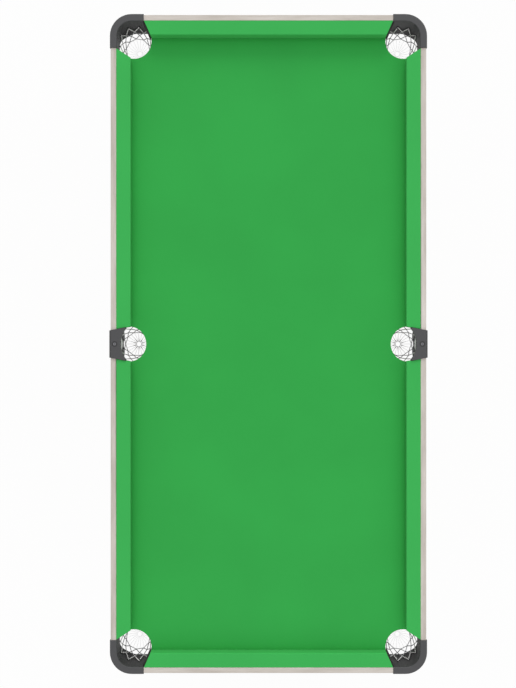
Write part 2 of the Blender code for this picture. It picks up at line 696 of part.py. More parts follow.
def bracket(flange_side):
    """A bracket about the head frame's pivot: a cheek with pivot hole and slot, and a flange to one side."""
    top = FLANGE_TOP - PIVOT_Z
    back = BRACKET_BACK
    radius = BRACKET_RADIUS
    slot_half = STUD_RADIUS + SLOT_PLAY
    start = HALF_TURN + QUARTER_TURN
    end = start - FOLD_ANGLE
    cheek = [(-radius, top), *arc(radius, HALF_TURN, start, ARC_STEPS), (back, -radius + back), (back, top)]
    first = (LOCK_RADIUS * math.cos(start), LOCK_RADIUS * math.sin(start))
    last = (LOCK_RADIUS * math.cos(end), LOCK_RADIUS * math.sin(end))
    slot = [
        *arc(LOCK_RADIUS + slot_half, end, start, ARC_STEPS),
        *arc(slot_half, start, start + HALF_TURN, 6, first)[1:],
        *arc(LOCK_RADIUS - slot_half, start, end, ARC_STEPS)[1:],
        *arc(slot_half, end - HALF_TURN, end, 6, last)[1:-1],
    ]
    pivot_hole = circle(hole_radius(PIVOT_RADIUS, ROUND_SIDES, RUNNING_GAP), ROUND_SIDES)
    upright = Matrix(((0, 0, 1, 0), (1, 0, 0, 0), (0, 1, 0, 0), (0, 0, 0, 1)))
    plate = slab([cheek, pivot_hole, slot], BRACKET_STEEL, upright)
    middle = (back - radius) / 2
    holes = [
        circle(BRACKET_SCREW_RADIUS, SMALL_SIDES, (-flange_side * BRACKET_FLANGE / 2, middle + offset))
        for offset in (-BRACKET_SCREW_SPACING / 2, BRACKET_SCREW_SPACING / 2)
    ]
    edge = BRACKET_STEEL / 2
    inner = -flange_side * (BRACKET_FLANGE - edge)
    outer = flange_side * edge
    flange_outline = [(inner, -radius), (outer, -radius), (outer, back), (inner, back)]
    level = Matrix.Translation((0, 0, top - BRACKET_STEEL / 2))
    return combined(plate, "UNION", slab([flange_outline, *holes], BRACKET_STEEL, level))


def build_supports():
    """The battens under the bed and the brackets that carry the leg frames."""
    wood = new_material("batten", (190, 158, 116), 0.7)
    steel = new_material("bracket_steel", (58, 58, 60), 0.45, 0.6)
    low = PIVOT_Y - BRACKET_RADIUS - BATTEN_MARGIN
    high = PIVOT_Y + BRACKET_BACK + BATTEN_MARGIN
    batten = block((-BATTEN_X, low, BATTEN_BOTTOM), (BATTEN_X, high, BATTEN_BOTTOM + BATTEN_THICKNESS))
    add_bevel(add_part("leg_batten_head", batten, wood), BOARD_EDGE)
    add_bevel(add_part("leg_batten_foot", batten, wood, turn=HALF_TURN), BOARD_EDGE)
    cheek_x = CHEEK_X + BRACKET_STEEL / 2
    facing_in = smooth(bracket(1))
    facing_out = smooth(bracket(-1))
    add_part("leg_bracket_head_right", facing_in, steel, (cheek_x, PIVOT_Y, PIVOT_Z))
    add_part("leg_bracket_head_left", facing_out, steel, (-cheek_x, PIVOT_Y, PIVOT_Z))
    add_part("leg_bracket_foot_left", facing_in, steel, (-cheek_x, -PIVOT_Y, PIVOT_Z), HALF_TURN)
    add_part("leg_bracket_foot_right", facing_out, steel, (cheek_x, -PIVOT_Y, PIVOT_Z), HALF_TURN)


def along_x(mesh):
    """A mesh turned from Z to X."""
    mesh.transform(Matrix.Rotation(QUARTER_TURN, 4, "Y"))
    return mesh


def tube(radius, length):
    """An open tube along X."""
    return along_x(slab([circle(radius, ROUND_SIDES), circle(radius - TUBE_WALL, ROUND_SIDES)], length))


def leg_tube(sign):
    """A leg on one side, from the pivot, coped to the pivot tube, with its bush and the hole for the stud."""
    foot = LEG_FOOT - PIVOT_Z
    body = rod(LEG_RADIUS, foot, 0)
    bore = rod(LEG_RADIUS - TUBE_WALL, foot + LEG_BUSH, OVERSHOOT)
    stem_radius = hole_radius(FOOT_STEM_RADIUS, SMALL_SIDES, RUNNING_GAP)
    stem = rod(stem_radius, foot - OVERSHOOT, foot + LEG_BUSH, SMALL_SIDES)
    cope = along_x(rod(PIVOT_RADIUS + FIT_GAP, -LEG_X, LEG_X))
    stud_radius = hole_radius(STUD_RADIUS, SMALL_SIDES, RUNNING_GAP)
    stud = along_x(rod(stud_radius, 0, LEG_RADIUS + OVERSHOOT, SMALL_SIDES))
    if sign < 0:
        stud.transform(Matrix.Rotation(HALF_TURN, 4, "Z"))
    stud.transform(Matrix.Translation((0, 0, -LOCK_RADIUS)))
    return combined(body, "DIFFERENCE", bore, stem, cope, stud)


def stretcher():
    """The tube between the legs, coped to both."""
    height = STRETCHER_HEIGHT - PIVOT_Z
    body = tube(STRETCHER_RADIUS, 2 * LEG_X)
    body.transform(Matrix.Translation((0, 0, height)))
    low = height - STRETCHER_RADIUS - OVERSHOOT
    high = height + STRETCHER_RADIUS + OVERSHOOT
    legs = [
        rod(LEG_RADIUS + FIT_GAP, low, high, matrix=Matrix.Translation((side * LEG_X, 0, 0)))
        for side in (-1, 1)
    ]
    return combined(body, "DIFFERENCE", *legs)


def lock_knob():
    """A lobed knob on a stud, about the stud's axis, with the knob towards +Z from the bracket's face."""
    turns = [2 * math.pi * i / (8 * KNOB_LOBES) for i in range(8 * KNOB_LOBES)]
    radii = [KNOB_RADIUS - KNOB_LOBE_DEPTH * (1 - math.cos(KNOB_LOBES * t)) / 2 for t in turns]
    lobes = [(r * math.cos(t), r * math.sin(t)) for r, t in zip(radii, turns)]
    head = slab([lobes], KNOB_HEIGHT, Matrix.Translation((0, 0, COLLAR_HEIGHT + KNOB_HEIGHT / 2)))
    head = rim_bevelled(head, COLLAR_HEIGHT + KNOB_HEIGHT, KNOB_EDGE)
    reach = KNOB_X - LEG_X - LEG_RADIUS + STUD_BITE
    collar = rod(COLLAR_RADIUS, 0, COLLAR_HEIGHT + KNOB_HEIGHT / 2)
    stud = rod(STUD_RADIUS, -reach, COLLAR_HEIGHT, SMALL_SIDES)
    return combined(head, "UNION", collar, stud)


def levelling_foot():
    """A pad, neck and stem about the leg's axis, from the floor up."""
    neck = FOOT_HEIGHT + FOOT_NECK_HEIGHT
    return turned(
        [
            (0, neck + FOOT_STEM_LENGTH),
            (FOOT_STEM_RADIUS, neck + FOOT_STEM_LENGTH),
            (FOOT_STEM_RADIUS, neck),
            (FOOT_NECK_RADIUS, neck),
            (FOOT_NECK_RADIUS, FOOT_HEIGHT),
            (FOOT_RADIUS - FOOT_EDGE, FOOT_HEIGHT),
            (FOOT_RADIUS, FOOT_HEIGHT - FOOT_EDGE),
            (FOOT_RADIUS, 0),
            (0, 0),
        ],
        ROUND_SIDES,
    )


def build_legs():
    """Two folding leg frames, each about its pivot, with their knobs and feet."""
    steel = new_material("leg_steel", (52, 52, 54), 0.45, 0.3)
    knob_plastic = new_material("knob_plastic", (30, 30, 31), 0.5)
    foot_plastic = new_material("foot_plastic", (38, 38, 39), 0.7)
    pivot = smooth(tube(PIVOT_RADIUS, 2 * (CHEEK_X + BRACKET_STEEL + PIVOT_OVERHANG)))
    cross = smooth(stretcher())
    legs = {"left": smooth(leg_tube(-1)), "right": smooth(leg_tube(1))}
    knob = smooth(lock_knob())
    foot = smooth(levelling_foot())
    outwards = {}
    for side, sign in (("left", -1), ("right", 1)):
        outwards[side] = knob.copy()
        outwards[side].transform(Matrix.Rotation(sign * QUARTER_TURN, 4, "Y"))
    for end, direction in (("head", 1), ("foot", -1)):
        axis = add_axis(f"leg_axis_{end}", (0, direction * PIVOT_Y, PIVOT_Z))
        add_part(f"pivot_tube_{end}", pivot, steel, parent=axis)
        add_part(f"leg_stretcher_{end}", cross, steel, parent=axis)
        for side, sign in (("left", -1), ("right", 1)):
            x = sign * LEG_X
            add_part(f"leg_tube_{end}_{side}", legs[side], steel, (x, 0, 0), parent=axis)
            knob_place = (sign * KNOB_X, 0, -LOCK_RADIUS)
            add_part(f"lock_knob_{end}_{side}", outwards[side], knob_plastic, knob_place, parent=axis)
            add_part(f"levelling_foot_{end}_{side}", foot, foot_plastic, (x, 0, -PIVOT_Z), parent=axis)


CORNERS = ((CORNER_X, CORNER_Y), (-CORNER_X, CORNER_Y), (-CORNER_X, -CORNER_Y), (CORNER_X, -CORNER_Y))
CORNER_NAMES = ("head_right", "head_left", "foot_left", "foot_right")

clear_scene()
PARTS = new_collection("billiard_table")
CUTTERS = new_collection("cutters")
build_bed()
build_boards()
build_cushions()
build_pockets()
build_supports()
build_legs()
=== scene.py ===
"""Dress the folding billiard table and set it in a plain white studio, seen from straight above.

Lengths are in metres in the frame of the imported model: +X across the table, +Y to its head end, +Z up.
"""

import logging
import math
from collections.abc import Callable, Iterator
from contextlib import contextmanager
from dataclasses import dataclass
from enum import Enum
from typing import Any

import bmesh
import bpy
from bmesh.types import BMEdge, BMFace
from bpy.types import Material, Node, NodeOutputs, NodeSocket, NodeTree, Object
from mathutils import Matrix, Vector


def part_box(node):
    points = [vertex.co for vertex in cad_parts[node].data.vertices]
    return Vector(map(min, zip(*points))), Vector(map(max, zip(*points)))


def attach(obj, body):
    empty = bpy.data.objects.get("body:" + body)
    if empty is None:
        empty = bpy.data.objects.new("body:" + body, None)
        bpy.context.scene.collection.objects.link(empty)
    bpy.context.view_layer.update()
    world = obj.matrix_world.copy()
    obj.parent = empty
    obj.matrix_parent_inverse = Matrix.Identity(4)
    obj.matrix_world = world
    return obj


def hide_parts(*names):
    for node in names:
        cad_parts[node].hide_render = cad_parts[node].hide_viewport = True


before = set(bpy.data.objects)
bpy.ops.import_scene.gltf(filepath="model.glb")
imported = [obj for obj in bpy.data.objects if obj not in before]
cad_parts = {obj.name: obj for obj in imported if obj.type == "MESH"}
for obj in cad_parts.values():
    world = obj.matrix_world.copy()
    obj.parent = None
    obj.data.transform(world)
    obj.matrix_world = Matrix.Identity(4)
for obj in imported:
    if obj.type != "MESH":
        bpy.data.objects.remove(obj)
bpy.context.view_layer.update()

MM = 0.001
TOP = "table_top"
ENDS = (("head", 1), ("foot", -1))
SIDES = (("left", -1), ("right", 1))
CORNER_POCKET = (0.316, 0.7115)
CLOSE = 0.1 * MM  # places nearer than this count as one
FACING = 0.8  # share of a normal along an axis from which a face counts as facing that way
SMOOTH = 35  # degrees between faces that are shaded as one
SMOOTH_CORD = 60
SMOOTH_SCREW = 30
Colour = tuple[int, int, int]
Pair = tuple[float, float]
Triple = tuple[float, float, float]
log = logging.getLogger("billiard_table")


class Run(Enum):
    """The way that the grain of a wooden piece runs, as its fineness along X, Y and Z."""

    LENGTHWISE = (60.0, 6.5, 60.0)
    CROSSWISE = (6.5, 60.0, 60.0)


class Wall(Enum):
    """The wall behind a pocket net, as the turn to each side at which it stops being round."""

    ROUND = math.radians(45)
    FLAT = 0.0


class SawCut(Enum):
    """The cut at an end of a cushion, as how far it falls back for each step away from the board."""

    END = 14.7 / 32.8
    CORNER = 21.4 / 32.8
    SIDE = 6 / 32.8


def linear(colour: Colour) -> tuple[float, float, float, float]:
    """Turn an 8-bit sRGB colour into a linear one with an alpha of 1."""
    shares = [level / 255 for level in colour]
    return (*[s / 12.92 if s <= 0.04045 else ((s + 0.055) / 1.055) ** 2.4 for s in shares], 1.0)


# Modelling by hand


def deselect_all() -> None:
    """Leave nothing selected."""
    for obj in bpy.context.selected_objects:
        obj.select_set(False)


def hold(*pieces: Object) -> None:
    """Select some objects and no others.

    Args:
        pieces: The objects, with the one that is made active first.
    """
    deselect_all()
    for piece in pieces:
        piece.select_set(True)
    bpy.context.view_layer.objects.active = pieces[0]


def named(obj: Object, name: str) -> Object:
    """Name an object and its data."""
    obj.name = obj.data.name = name
    return obj


def linked(name: str, data: Any) -> Object:
    """Put a new object with its mesh or curve into the scene."""
    obj = bpy.data.objects.new(name, data)
    bpy.context.scene.collection.objects.link(obj)
    return named(obj, name)


def new_piece(name: str, add: Callable[..., Any], **settings: Any) -> Object:
    """Add an object with an operator and its settings."""
    deselect_all()
    add(**settings)
    return named(bpy.context.active_object, name)


def block(name: str, size: Any, place: Any, turn: float = 0.0) -> Object:
    """Add a box about a place, turned about the vertical."""
    add = bpy.ops.mesh.primitive_cube_add
    return new_piece(name, add, size=1, location=place, rotation=(0, 0, turn), scale=size)


def disc(name: str, radius: float, depth: float, vertices: int, **where: Any) -> Object:
    """Add an upright cylinder, or one with a location and a rotation."""
    add = bpy.ops.mesh.primitive_cylinder_add
    return new_piece(name, add, vertices=vertices, radius=radius, depth=depth, **where)


@contextmanager
def editing(obj: Object) -> Iterator[None]:
    """Hold an object in edit mode with nothing of it selected.

    Args:
        obj: The object.

    Yields:
        Nothing, while the object is in edit mode.
    """
    hold(obj)
    bpy.ops.object.mode_set(mode="EDIT")
    bpy.ops.mesh.select_all(action="DESELECT")
    yield
    bpy.ops.object.mode_set(mode="OBJECT")


def pick(obj: Object, kind: str, test: Callable[[Any], bool]) -> None:
    """Select the vertices, edges or faces of a mesh in edit mode that pass a test, and no others.

    Args:
        obj: The object in edit mode.
        kind: VERT, EDGE or FACE.
        test: Says whether an element is taken.
    """
    bpy.ops.mesh.select_mode(type=kind)
    bpy.ops.mesh.select_all(action="DESELECT")
    shape = bmesh.from_edit_mesh(obj.data)
    shape.normal_update()
    elements = {"VERT": shape.verts, "EDGE": shape.edges, "FACE": shape.faces}[kind]
    for element in [e for e in elements if test(e)]:
        element.select_set(True)
    shape.select_flush_mode()
    bmesh.update_edit_mesh(obj.data)


def extrude(shift: Triple) -> None:
    """Extrude what is selected in edit mode."""
    bpy.ops.mesh.extrude_region_move(TRANSFORM_OT_translate={"value": shift})


def bevel(width: float, segments: int) -> None:
    """Bevel the edges that are selected in edit mode."""
    bpy.ops.mesh.bevel(offset=width, segments=segments, affect="EDGES")


def inset(steps: tuple[Pair, ...]) -> None:
    """Inset the faces that are selected in edit mode, by a width and a depth at each step."""
    for width, depth in steps:
        bpy.ops.mesh.inset(thickness=width, depth=depth)


def modify(obj: Object, kind: str, **settings: Any) -> None:
    """Add a modifier with its settings and apply it.

    Args:
        obj: The object.
        kind: The modifier's type.
        settings: The modifier's settings.
    """
    hold(obj)
    modifier = obj.modifiers.new(kind.title(), kind)
    for name, value in settings.items():
        setattr(modifier, name, value)
    bpy.ops.object.modifier_apply(modifier=modifier.name)


def cut(obj: Object, cutter: Object) -> None:
    """Cut one object out of another and delete it."""
    modify(obj, "BOOLEAN", object=cutter, operation="DIFFERENCE", solver="EXACT")
    bpy.data.objects.remove(cutter)


def apply_place(obj: Object) -> None:
    """Put an object's place, turn and scale into its mesh."""
    hold(obj)
    bpy.ops.object.transform_apply(location=True, rotation=True, scale=True)


def settle(obj: Object, angle: float = SMOOTH) -> Object:
    """Put an object's place into its mesh and shade it smooth up to an angle in degrees."""
    apply_place(obj)
    bpy.ops.object.shade_smooth_by_angle(angle=math.radians(angle))
    return obj


def settle_evenly(obj: Object) -> None:
    """Settle an object and let its large faces lead the shading of its edges."""
    settle(obj)
    modify(obj, "WEIGHTED_NORMAL", keep_sharp=True)


def copy_at(obj: Object, name: str, place: Matrix) -> Object:
    """Copy an object with its own mesh.

    Args:
        obj: The object to copy.
        name: The copy's name.
        place: Where the copy's mesh goes.

    Returns:
        The copy, at the origin.
    """
    twin = linked(name, obj.data.copy())
    twin.data.transform(place)
    return twin


def copies(pattern: Object, places: list[Matrix]) -> list[Object]:
    """Copies of a pattern at several places."""
    return [copy_at(pattern, f"{pattern.name}_copy", place) for place in places]


def join(pieces: list[Object], name: str) -> Object:
    """Join meshes into one piece, which is the first of them."""
    hold(*pieces)
    bpy.ops.object.join()
    return named(pieces[0], name)


@dataclass
class Line:
    """The points that a strand follows, with its thickness at each."""

    points: list[Vector]
    radii: list[float]
    closed: bool = False


def tube(name: str, lines: list[Line], thickness: float) -> Object:
    """Sweep lines of points into round strands of one mesh, with eight sides each.

    Args:
        name: The piece's name.
        lines: The strands.
        thickness: Radius of a strand whose points have a radius of 1.

    Returns:
        The mesh object.
    """
    curve = bpy.data.curves.new(name, "CURVE")
    curve.dimensions = "3D"
    curve.bevel_depth = thickness
    curve.bevel_resolution = 2
    curve.use_fill_caps = True
    for line in lines:
        spline = curve.splines.new("POLY")
        spline.points.add(len(line.points) - 1)
        for target, point, radius in zip(spline.points, line.points, line.radii):
            target.co = (*point, 1)
            target.radius = radius
        spline.use_cyclic_u = line.closed
    hold(linked(name, curve))
    bpy.ops.object.convert(target="MESH")
    return bpy.context.active_object


def merged(node: str, name: str) -> Object:
    """Copy a solid of the frame under a new name, with its triangles merged into flat faces.

    Args:
        node: The solid's name.
        name: The copy's name.

    Returns:
        The copy.
    """
    obj = linked(name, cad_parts[node].data.copy())
    with editing(obj):
        bpy.ops.mesh.select_all(action="SELECT")
        bpy.ops.mesh.remove_doubles(threshold=0.005 * MM)
        bpy.ops.mesh.dissolve_limited(angle_limit=math.radians(1))
    return obj


def finish_as(obj: Object, material: Material) -> None:
    """Give a piece one material."""
    obj.data.materials.clear()
    obj.data.materials.append(material)


def fit(obj: Object, body: str, material: Material, node: str = "") -> None:
    """Fit a shaped piece to the part.

    Args:
        obj: The piece.
        body: The body that it rides on.
        material: Its finish.
        node: The solid that it stands in for, if there is one.
    """
    if node:
        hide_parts(node)
    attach(obj, body)
    finish_as(obj, material)


def refined(node: str, body: str, material: Material, edge: float = 0.0) -> Object:
    """Put a merged copy in place of a solid.

    Args:
        node: The solid's name.
        body: The body that it rides on.
        material: Its finish.
        edge: Width of its softened edges, or 0 for none.

    Returns:
        The new piece.
    """
    obj = merged(node, f"{node}_finished")
    if edge:
        modify(obj, "BEVEL", width=edge, segments=2, limit_method="ANGLE", angle_limit=math.radians(SMOOTH))
    settle_evenly(obj)
    fit(obj, body, material, node=node)
    return obj


def report(name: str, count: int = 1) -> None:
    """Log that a piece, or a set of like pieces, is done."""
    log.info("%s: %d", name, count)


# Finishes


class Graph:
    """A node tree that is being wired."""

    def __init__(self, tree: NodeTree) -> None:
        """Keep the tree."""
        self.tree = tree

    def feed(self, node: Node, inputs: dict[str | int, Any]) -> None:
        """Set a node's inputs.

        Args:
            node: The node.
            inputs: Values, or sockets to link, by the inputs' names or places.
        """
        for name, value in inputs.items():
            if isinstance(value, NodeSocket):
                self.tree.links.new(value, node.inputs[name])
            else:
                node.inputs[name].default_value = value

    def add(self, kind: str, inputs: dict[str | int, Any] | None = None, **settings: Any) -> Node:
        """Add a node.

        Args:
            kind: The node's type.
            inputs: Values or sockets for its inputs, by name or place.
            settings: Values for its own properties.

        Returns:
            The node.
        """
        node = self.tree.nodes.new(kind)
        for name, value in settings.items():
            setattr(node, name, value)
        self.feed(node, inputs or {})
        return node

    def stretched(self, vector: Any, scale: Triple) -> NodeSocket:
        """A vector scaled along each axis."""
        return self.add("ShaderNodeMapping", {"Vector": vector, "Scale": scale}).outputs["Vector"]

    def noise(self, vector: Any, scale: Any, detail: float, roughness: float) -> NodeSocket:
        """The value of a noise texture."""
        inputs = {"Vector": vector, "Scale": scale, "Detail": detail, "Roughness": roughness}
        return self.add("ShaderNodeTexNoise", inputs).outputs["Fac"]

    def spread(self, value: Any, low: float, high: float, to_low: Any, to_high: Any) -> NodeSocket:
        """A value mapped from one range to another."""
        inputs = {"Value": value, "From Min": low, "From Max": high, "To Min": to_low, "To Max": to_high}
        return self.add("ShaderNodeMapRange", inputs).outputs["Result"]

    def mix(self, share: Any, first: Any, second: Any, blend: str = "MIX") -> NodeSocket:
        """A mix of two colours."""
        inputs = {0: share, 6: first, 7: second}
        return self.add("ShaderNodeMix", inputs, data_type="RGBA", blend_type=blend).outputs[2]

    def maths(self, operation: str, first: Any, second: Any) -> NodeSocket:
        """The result of a sum on two values."""
        return self.add("ShaderNodeMath", {0: first, 1: second}, operation=operation).outputs[0]

    def times(self, first: Any, second: Any) -> NodeSocket:
        """The product of two values."""
        return self.maths("MULTIPLY", first, second)

    def bump(self, height: Any, depth: float) -> NodeSocket:
        """The normal of a height of some depth in metres."""
        inputs = {"Height": height, "Strength": 1.0, "Distance": depth}
        return self.add("ShaderNodeBump", inputs).outputs["Normal"]

    def effect(self, group: NodeTree, inputs: dict[str, Any]) -> NodeOutputs:
        """The outputs of a shared effect with its values."""
        return self.add("ShaderNodeGroup", inputs, node_tree=group).outputs


def new_effect(name: str, inputs: dict[str, str], outputs: dict[str, str]) -> tuple[Graph, Any, Any]:
    """Start a shader node group.

    Args:
        name: The group's name.
        inputs: Socket types by input name.
        outputs: Socket types by output name.

    Returns:
        The graph, the group's inputs as sockets and the node that takes its outputs.
    """
    tree = bpy.data.node_groups.new(name, "ShaderNodeTree")
    for way, sockets in (("INPUT", inputs), ("OUTPUT", outputs)):
        for socket, kind in sockets.items():
            tree.interface.new_socket(socket, in_out=way, socket_type=f"NodeSocket{kind}")
    graph = Graph(tree)
    return graph, graph.add("NodeGroupInput").outputs, graph.add("NodeGroupOutput")


def grain_effect() -> NodeTree:
    """Streaks and pores of wood along a stretched vector.

    Returns:
        The group.
    """
    sockets = {"Vector": "Vector", "Pale": "Color", "Deep": "Color", "Pores": "Float"}
    graph, given, out = new_effect("wood_grain", sockets, {"Color": "Color", "Height": "Float"})
    streaks = graph.noise(given["Vector"], scale=1.0, detail=6, roughness=0.62)
    bands = graph.noise(given["Vector"], scale=0.22, detail=2, roughness=0.5)
    pores = graph.noise(given["Vector"], scale=5.5, detail=3, roughness=0.7)
    share = graph.spread(graph.maths("ADD", streaks, graph.times(bands, 0.3)), 0.4, 0.9, 0.0, 1.0)
    colour = graph.mix(share, given["Pale"], given["Deep"])
    dark = graph.spread(pores, 0.62, 0.78, 0.0, given["Pores"])
    pored = graph.mix(dark, colour, given["Deep"], "MULTIPLY")
    graph.feed(out, {"Color": pored, "Height": graph.maths("SUBTRACT", streaks, dark)})
    return graph.tree


def nap_effect() -> NodeTree:
    """The brushed nap of a felted cloth: soft patches, fine fibres and a faint weave.

    Returns:
        The group.
    """
    sockets = {"Vector": "Vector", "Color": "Color", "Patches": "Float", "Fibres": "Float"}
    graph, given, out = new_effect("felt_nap", sockets, {"Color": "Color", "Height": "Float"})
    brushed = graph.stretched(given["Vector"], (2200.0, 640.0, 1500.0))
    crossed = graph.stretched(given["Vector"], (730.0, 2700.0, 1500.0))
    patches = graph.noise(given["Vector"], scale=5.0, detail=3, roughness=0.5)
    fibres = graph.noise(brushed, scale=1.0, detail=4, roughness=0.7)
    weave = graph.noise(crossed, scale=1.0, detail=2, roughness=0.6)
    fuzz = graph.maths("ADD", graph.times(fibres, 0.65), graph.times(weave, 0.35))
    black = (0.0, 0.0, 0.0, 1.0)
    white = (1.0, 1.0, 1.0, 1.0)
    cloud = graph.times(graph.spread(patches, 0.35, 0.65, 0.0, 1.0), given["Patches"])
    shade = graph.times(graph.spread(fuzz, 0.5, 0.3, 0.0, 1.0), given["Fibres"])
    light = graph.times(graph.spread(fuzz, 0.5, 0.7, 0.0, 0.25), given["Fibres"])
    cord_painted_shade = graph.mix(shade, graph.mix(cloud, given["Color"], black), black)
    graph.feed(out, {"Color": graph.mix(light, cord_painted_shade, white), "Height": fuzz})
    return graph.tree


def speckle_effect() -> NodeTree:
    """The fine texture of a moulded or coated surface, with faint rubbed patches.

    Returns:
        The group.
    """
    sockets = {"Vector": "Vector", "Color": "Color"}
    sockets |= dict.fromkeys(("Fineness", "Contrast", "Gloss"), "Float")
    results = {"Color": "Color", "Roughness": "Float", "Height": "Float"}
    graph, given, out = new_effect("fine_speckle", sockets, results)
    grains = graph.noise(given["Vector"], given["Fineness"], detail=3, roughness=0.6)
    patches = graph.noise(given["Vector"], scale=9.0, detail=4, roughness=0.6)
    share = graph.times(graph.spread(grains, 0.3, 0.7, -1.0, 1.0), given["Contrast"])
    shade = graph.maths("ADD", share, graph.spread(patches, 0.3, 0.7, -0.03, 0.03))
    value = graph.maths("ADD", shade, 1.0)
    bright = graph.add("ShaderNodeHueSaturation", {"Color": given["Color"], "Value": value})
    rough = graph.maths("ADD", given["Gloss"], graph.spread(patches, 0.3, 0.7, -0.05, 0.07))
    graph.feed(out, {"Color": bright.outputs["Color"], "Roughness": rough, "Height": grains})
    return graph.tree


GRAIN = grain_effect()
NAP = nap_effect()
SPECKLE = speckle_effect()
RAW_WOOD = ((205, 174, 132), (168, 128, 84), 0.5, 0.75)  # pale, deep, pores and roughness of a timber


@dataclass(frozen=True)
class Finish:
    """What every finish has: a name, and a material to begin with."""

    name: str

    def start(self) -> tuple[Material, Graph, Node, NodeSocket]:
        """Begin a material.

        Returns:
            The material, its graph, its shader and the object's own coordinates.
        """
        material = bpy.data.materials.new(self.name)
        material.use_nodes = True
        graph = Graph(material.node_tree)
        where = graph.add("ShaderNodeTexCoord").outputs["Object"]
        return material, graph, material.node_tree.nodes["Principled BSDF"], where


@dataclass(frozen=True)
class Timber(Finish):
    """Wood with its grain along one way."""

    run: Run
    pale: Colour
    deep: Colour
    pores: float = 0.35
    roughness: float = 0.6
    depth: float = 0.12 * MM

    def build(self) -> Material:
        """Make the material.

        Returns:
            The material.
        """
        material, graph, shader, where = self.start()
        along = graph.stretched(where, self.run.value)
        inputs = {"Vector": along, "Pale": linear(self.pale), "Deep": linear(self.deep), "Pores": self.pores}
        grain = graph.effect(GRAIN, inputs)
        rough = graph.spread(grain["Height"], 0.2, 0.8, self.roughness + 0.08, self.roughness - 0.08)
        bump = graph.bump(grain["Height"], self.depth)
        graph.feed(shader, {"Base Color": grain["Color"], "Roughness": rough, "Normal": bump})
        return material


@dataclass(frozen=True)
class Felt(Finish):
    """Felted cloth with a brushed nap and a little sheen."""

    colour: Colour
    patches: float = 0.06
    fibres: float = 0.22
    depth: float = 0.1 * MM
    sheen: Colour = (150, 220, 160)

    def build(self) -> Material:
        """Make the material.

        Returns:
            The material.
        """
        material, graph, shader, where = self.start()
        dye = linear(self.colour)
        inputs = {"Vector": where, "Color": dye, "Patches": self.patches, "Fibres": self.fibres}
        nap = graph.effect(NAP, inputs)
        surface = {
            "Base Color": nap["Color"],
            "Roughness": 0.95,
            "Specular IOR Level": 0.2,
            "Sheen Weight": 0.12,
            "Sheen Roughness": 0.5,
            "Sheen Tint": linear(self.sheen),
            "Normal": graph.bump(nap["Height"], self.depth),
        }
        graph.feed(shader, surface)
        return material


@dataclass(frozen=True)
class Speckled(Finish):
    """A moulded, coated or bare surface with a fine texture, of one colour or with painted shade darkening
    it below a height.
    """

    colour: Colour
    gloss: float
    fineness: float = 900.0
    contrast: float = 0.06
    metallic: float = 0.0
    depth: float = 0.05 * MM
    # Painted shade: the darker colour that the surface takes below the fade's heights
    painted_shade: Colour | None = None
    fade: Pair = (0.0, 1.0)

    def build(self) -> Material:
        """Make the material.

        Returns:
            The material.
        """
        material, graph, shader, where = self.start()
        colour = linear(self.colour)
        # Painted shade: below the fade's heights the colour gives way to the darker shade colour
        if self.painted_shade:
            height = graph.add("ShaderNodeSeparateXYZ", {"Vector": where}).outputs["Z"]
            share = graph.spread(height, *self.fade, 0.0, 1.0)
            colour = graph.mix(share, linear(self.painted_shade), colour)
        inputs = {
            "Vector": where,
            "Color": colour,
            "Fineness": self.fineness,
            "Contrast": self.contrast,
            "Gloss": self.gloss,
        }
        speckle = graph.effect(SPECKLE, inputs)
        surface = {
            "Base Color": speckle["Color"],
            "Roughness": speckle["Roughness"],
            "Metallic": self.metallic,
            "Normal": graph.bump(speckle["Height"], self.depth),
        }
        graph.feed(shader, surface)
        return material


# Sub-assemblies


@dataclass
class Boards:
    """The four whitewashed boards round the bed, and the bed board and battens under the cloth."""

    pale: Colour = (218, 211, 204)
    deep: Colour = (178, 169, 159)
    fibre: Colour = (150, 118, 84)
    notch_start: float = 685 * MM
    notch_top: float = 731.5 * MM
    notch_size: Triple = (40 * MM, 80 * MM, 80 * MM)

    def notch(self, board: Object) -> None:
        """Cut away the lower corners of a side board inside the corner caps, clear of the pockets.

        Args:
            board: The finished board.
        """
        low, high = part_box(board.name.removesuffix("_finished"))
        _, run, tall = self.notch_size
        for end in (-1, 1):
            place = ((low[0] + high[0]) / 2, end * (self.notch_start + run / 2), self.notch_top - tall / 2)
            cut(board, block("cutter", self.notch_size, place))

    def dress(self) -> None:
        """Give each board its grain, along its own length."""
        lengthwise = Timber("whitewashed_board_long", Run.LENGTHWISE, self.pale, self.deep).build()
        crosswise = Timber("whitewashed_board_cross", Run.CROSSWISE, self.pale, self.deep).build()
        raw = Timber("raw_batten", Run.CROSSWISE, *RAW_WOOD).build()
        finishes = {
            "side_board_left": lengthwise,
            "side_board_right": lengthwise,
            "end_board_head": crosswise,
            "end_board_foot": crosswise,
            "leg_batten_head": raw,
            "leg_batten_foot": raw,
            "bed_board": Speckled("fibreboard", self.fibre, 0.8, 420.0, 0.2, depth=0.15 * MM).build(),
        }
        for node, material in finishes.items():
            board = refined(node, TOP, material)
            if node.startswith("side_board"):
                self.notch(board)
        report("boards", len(finishes))


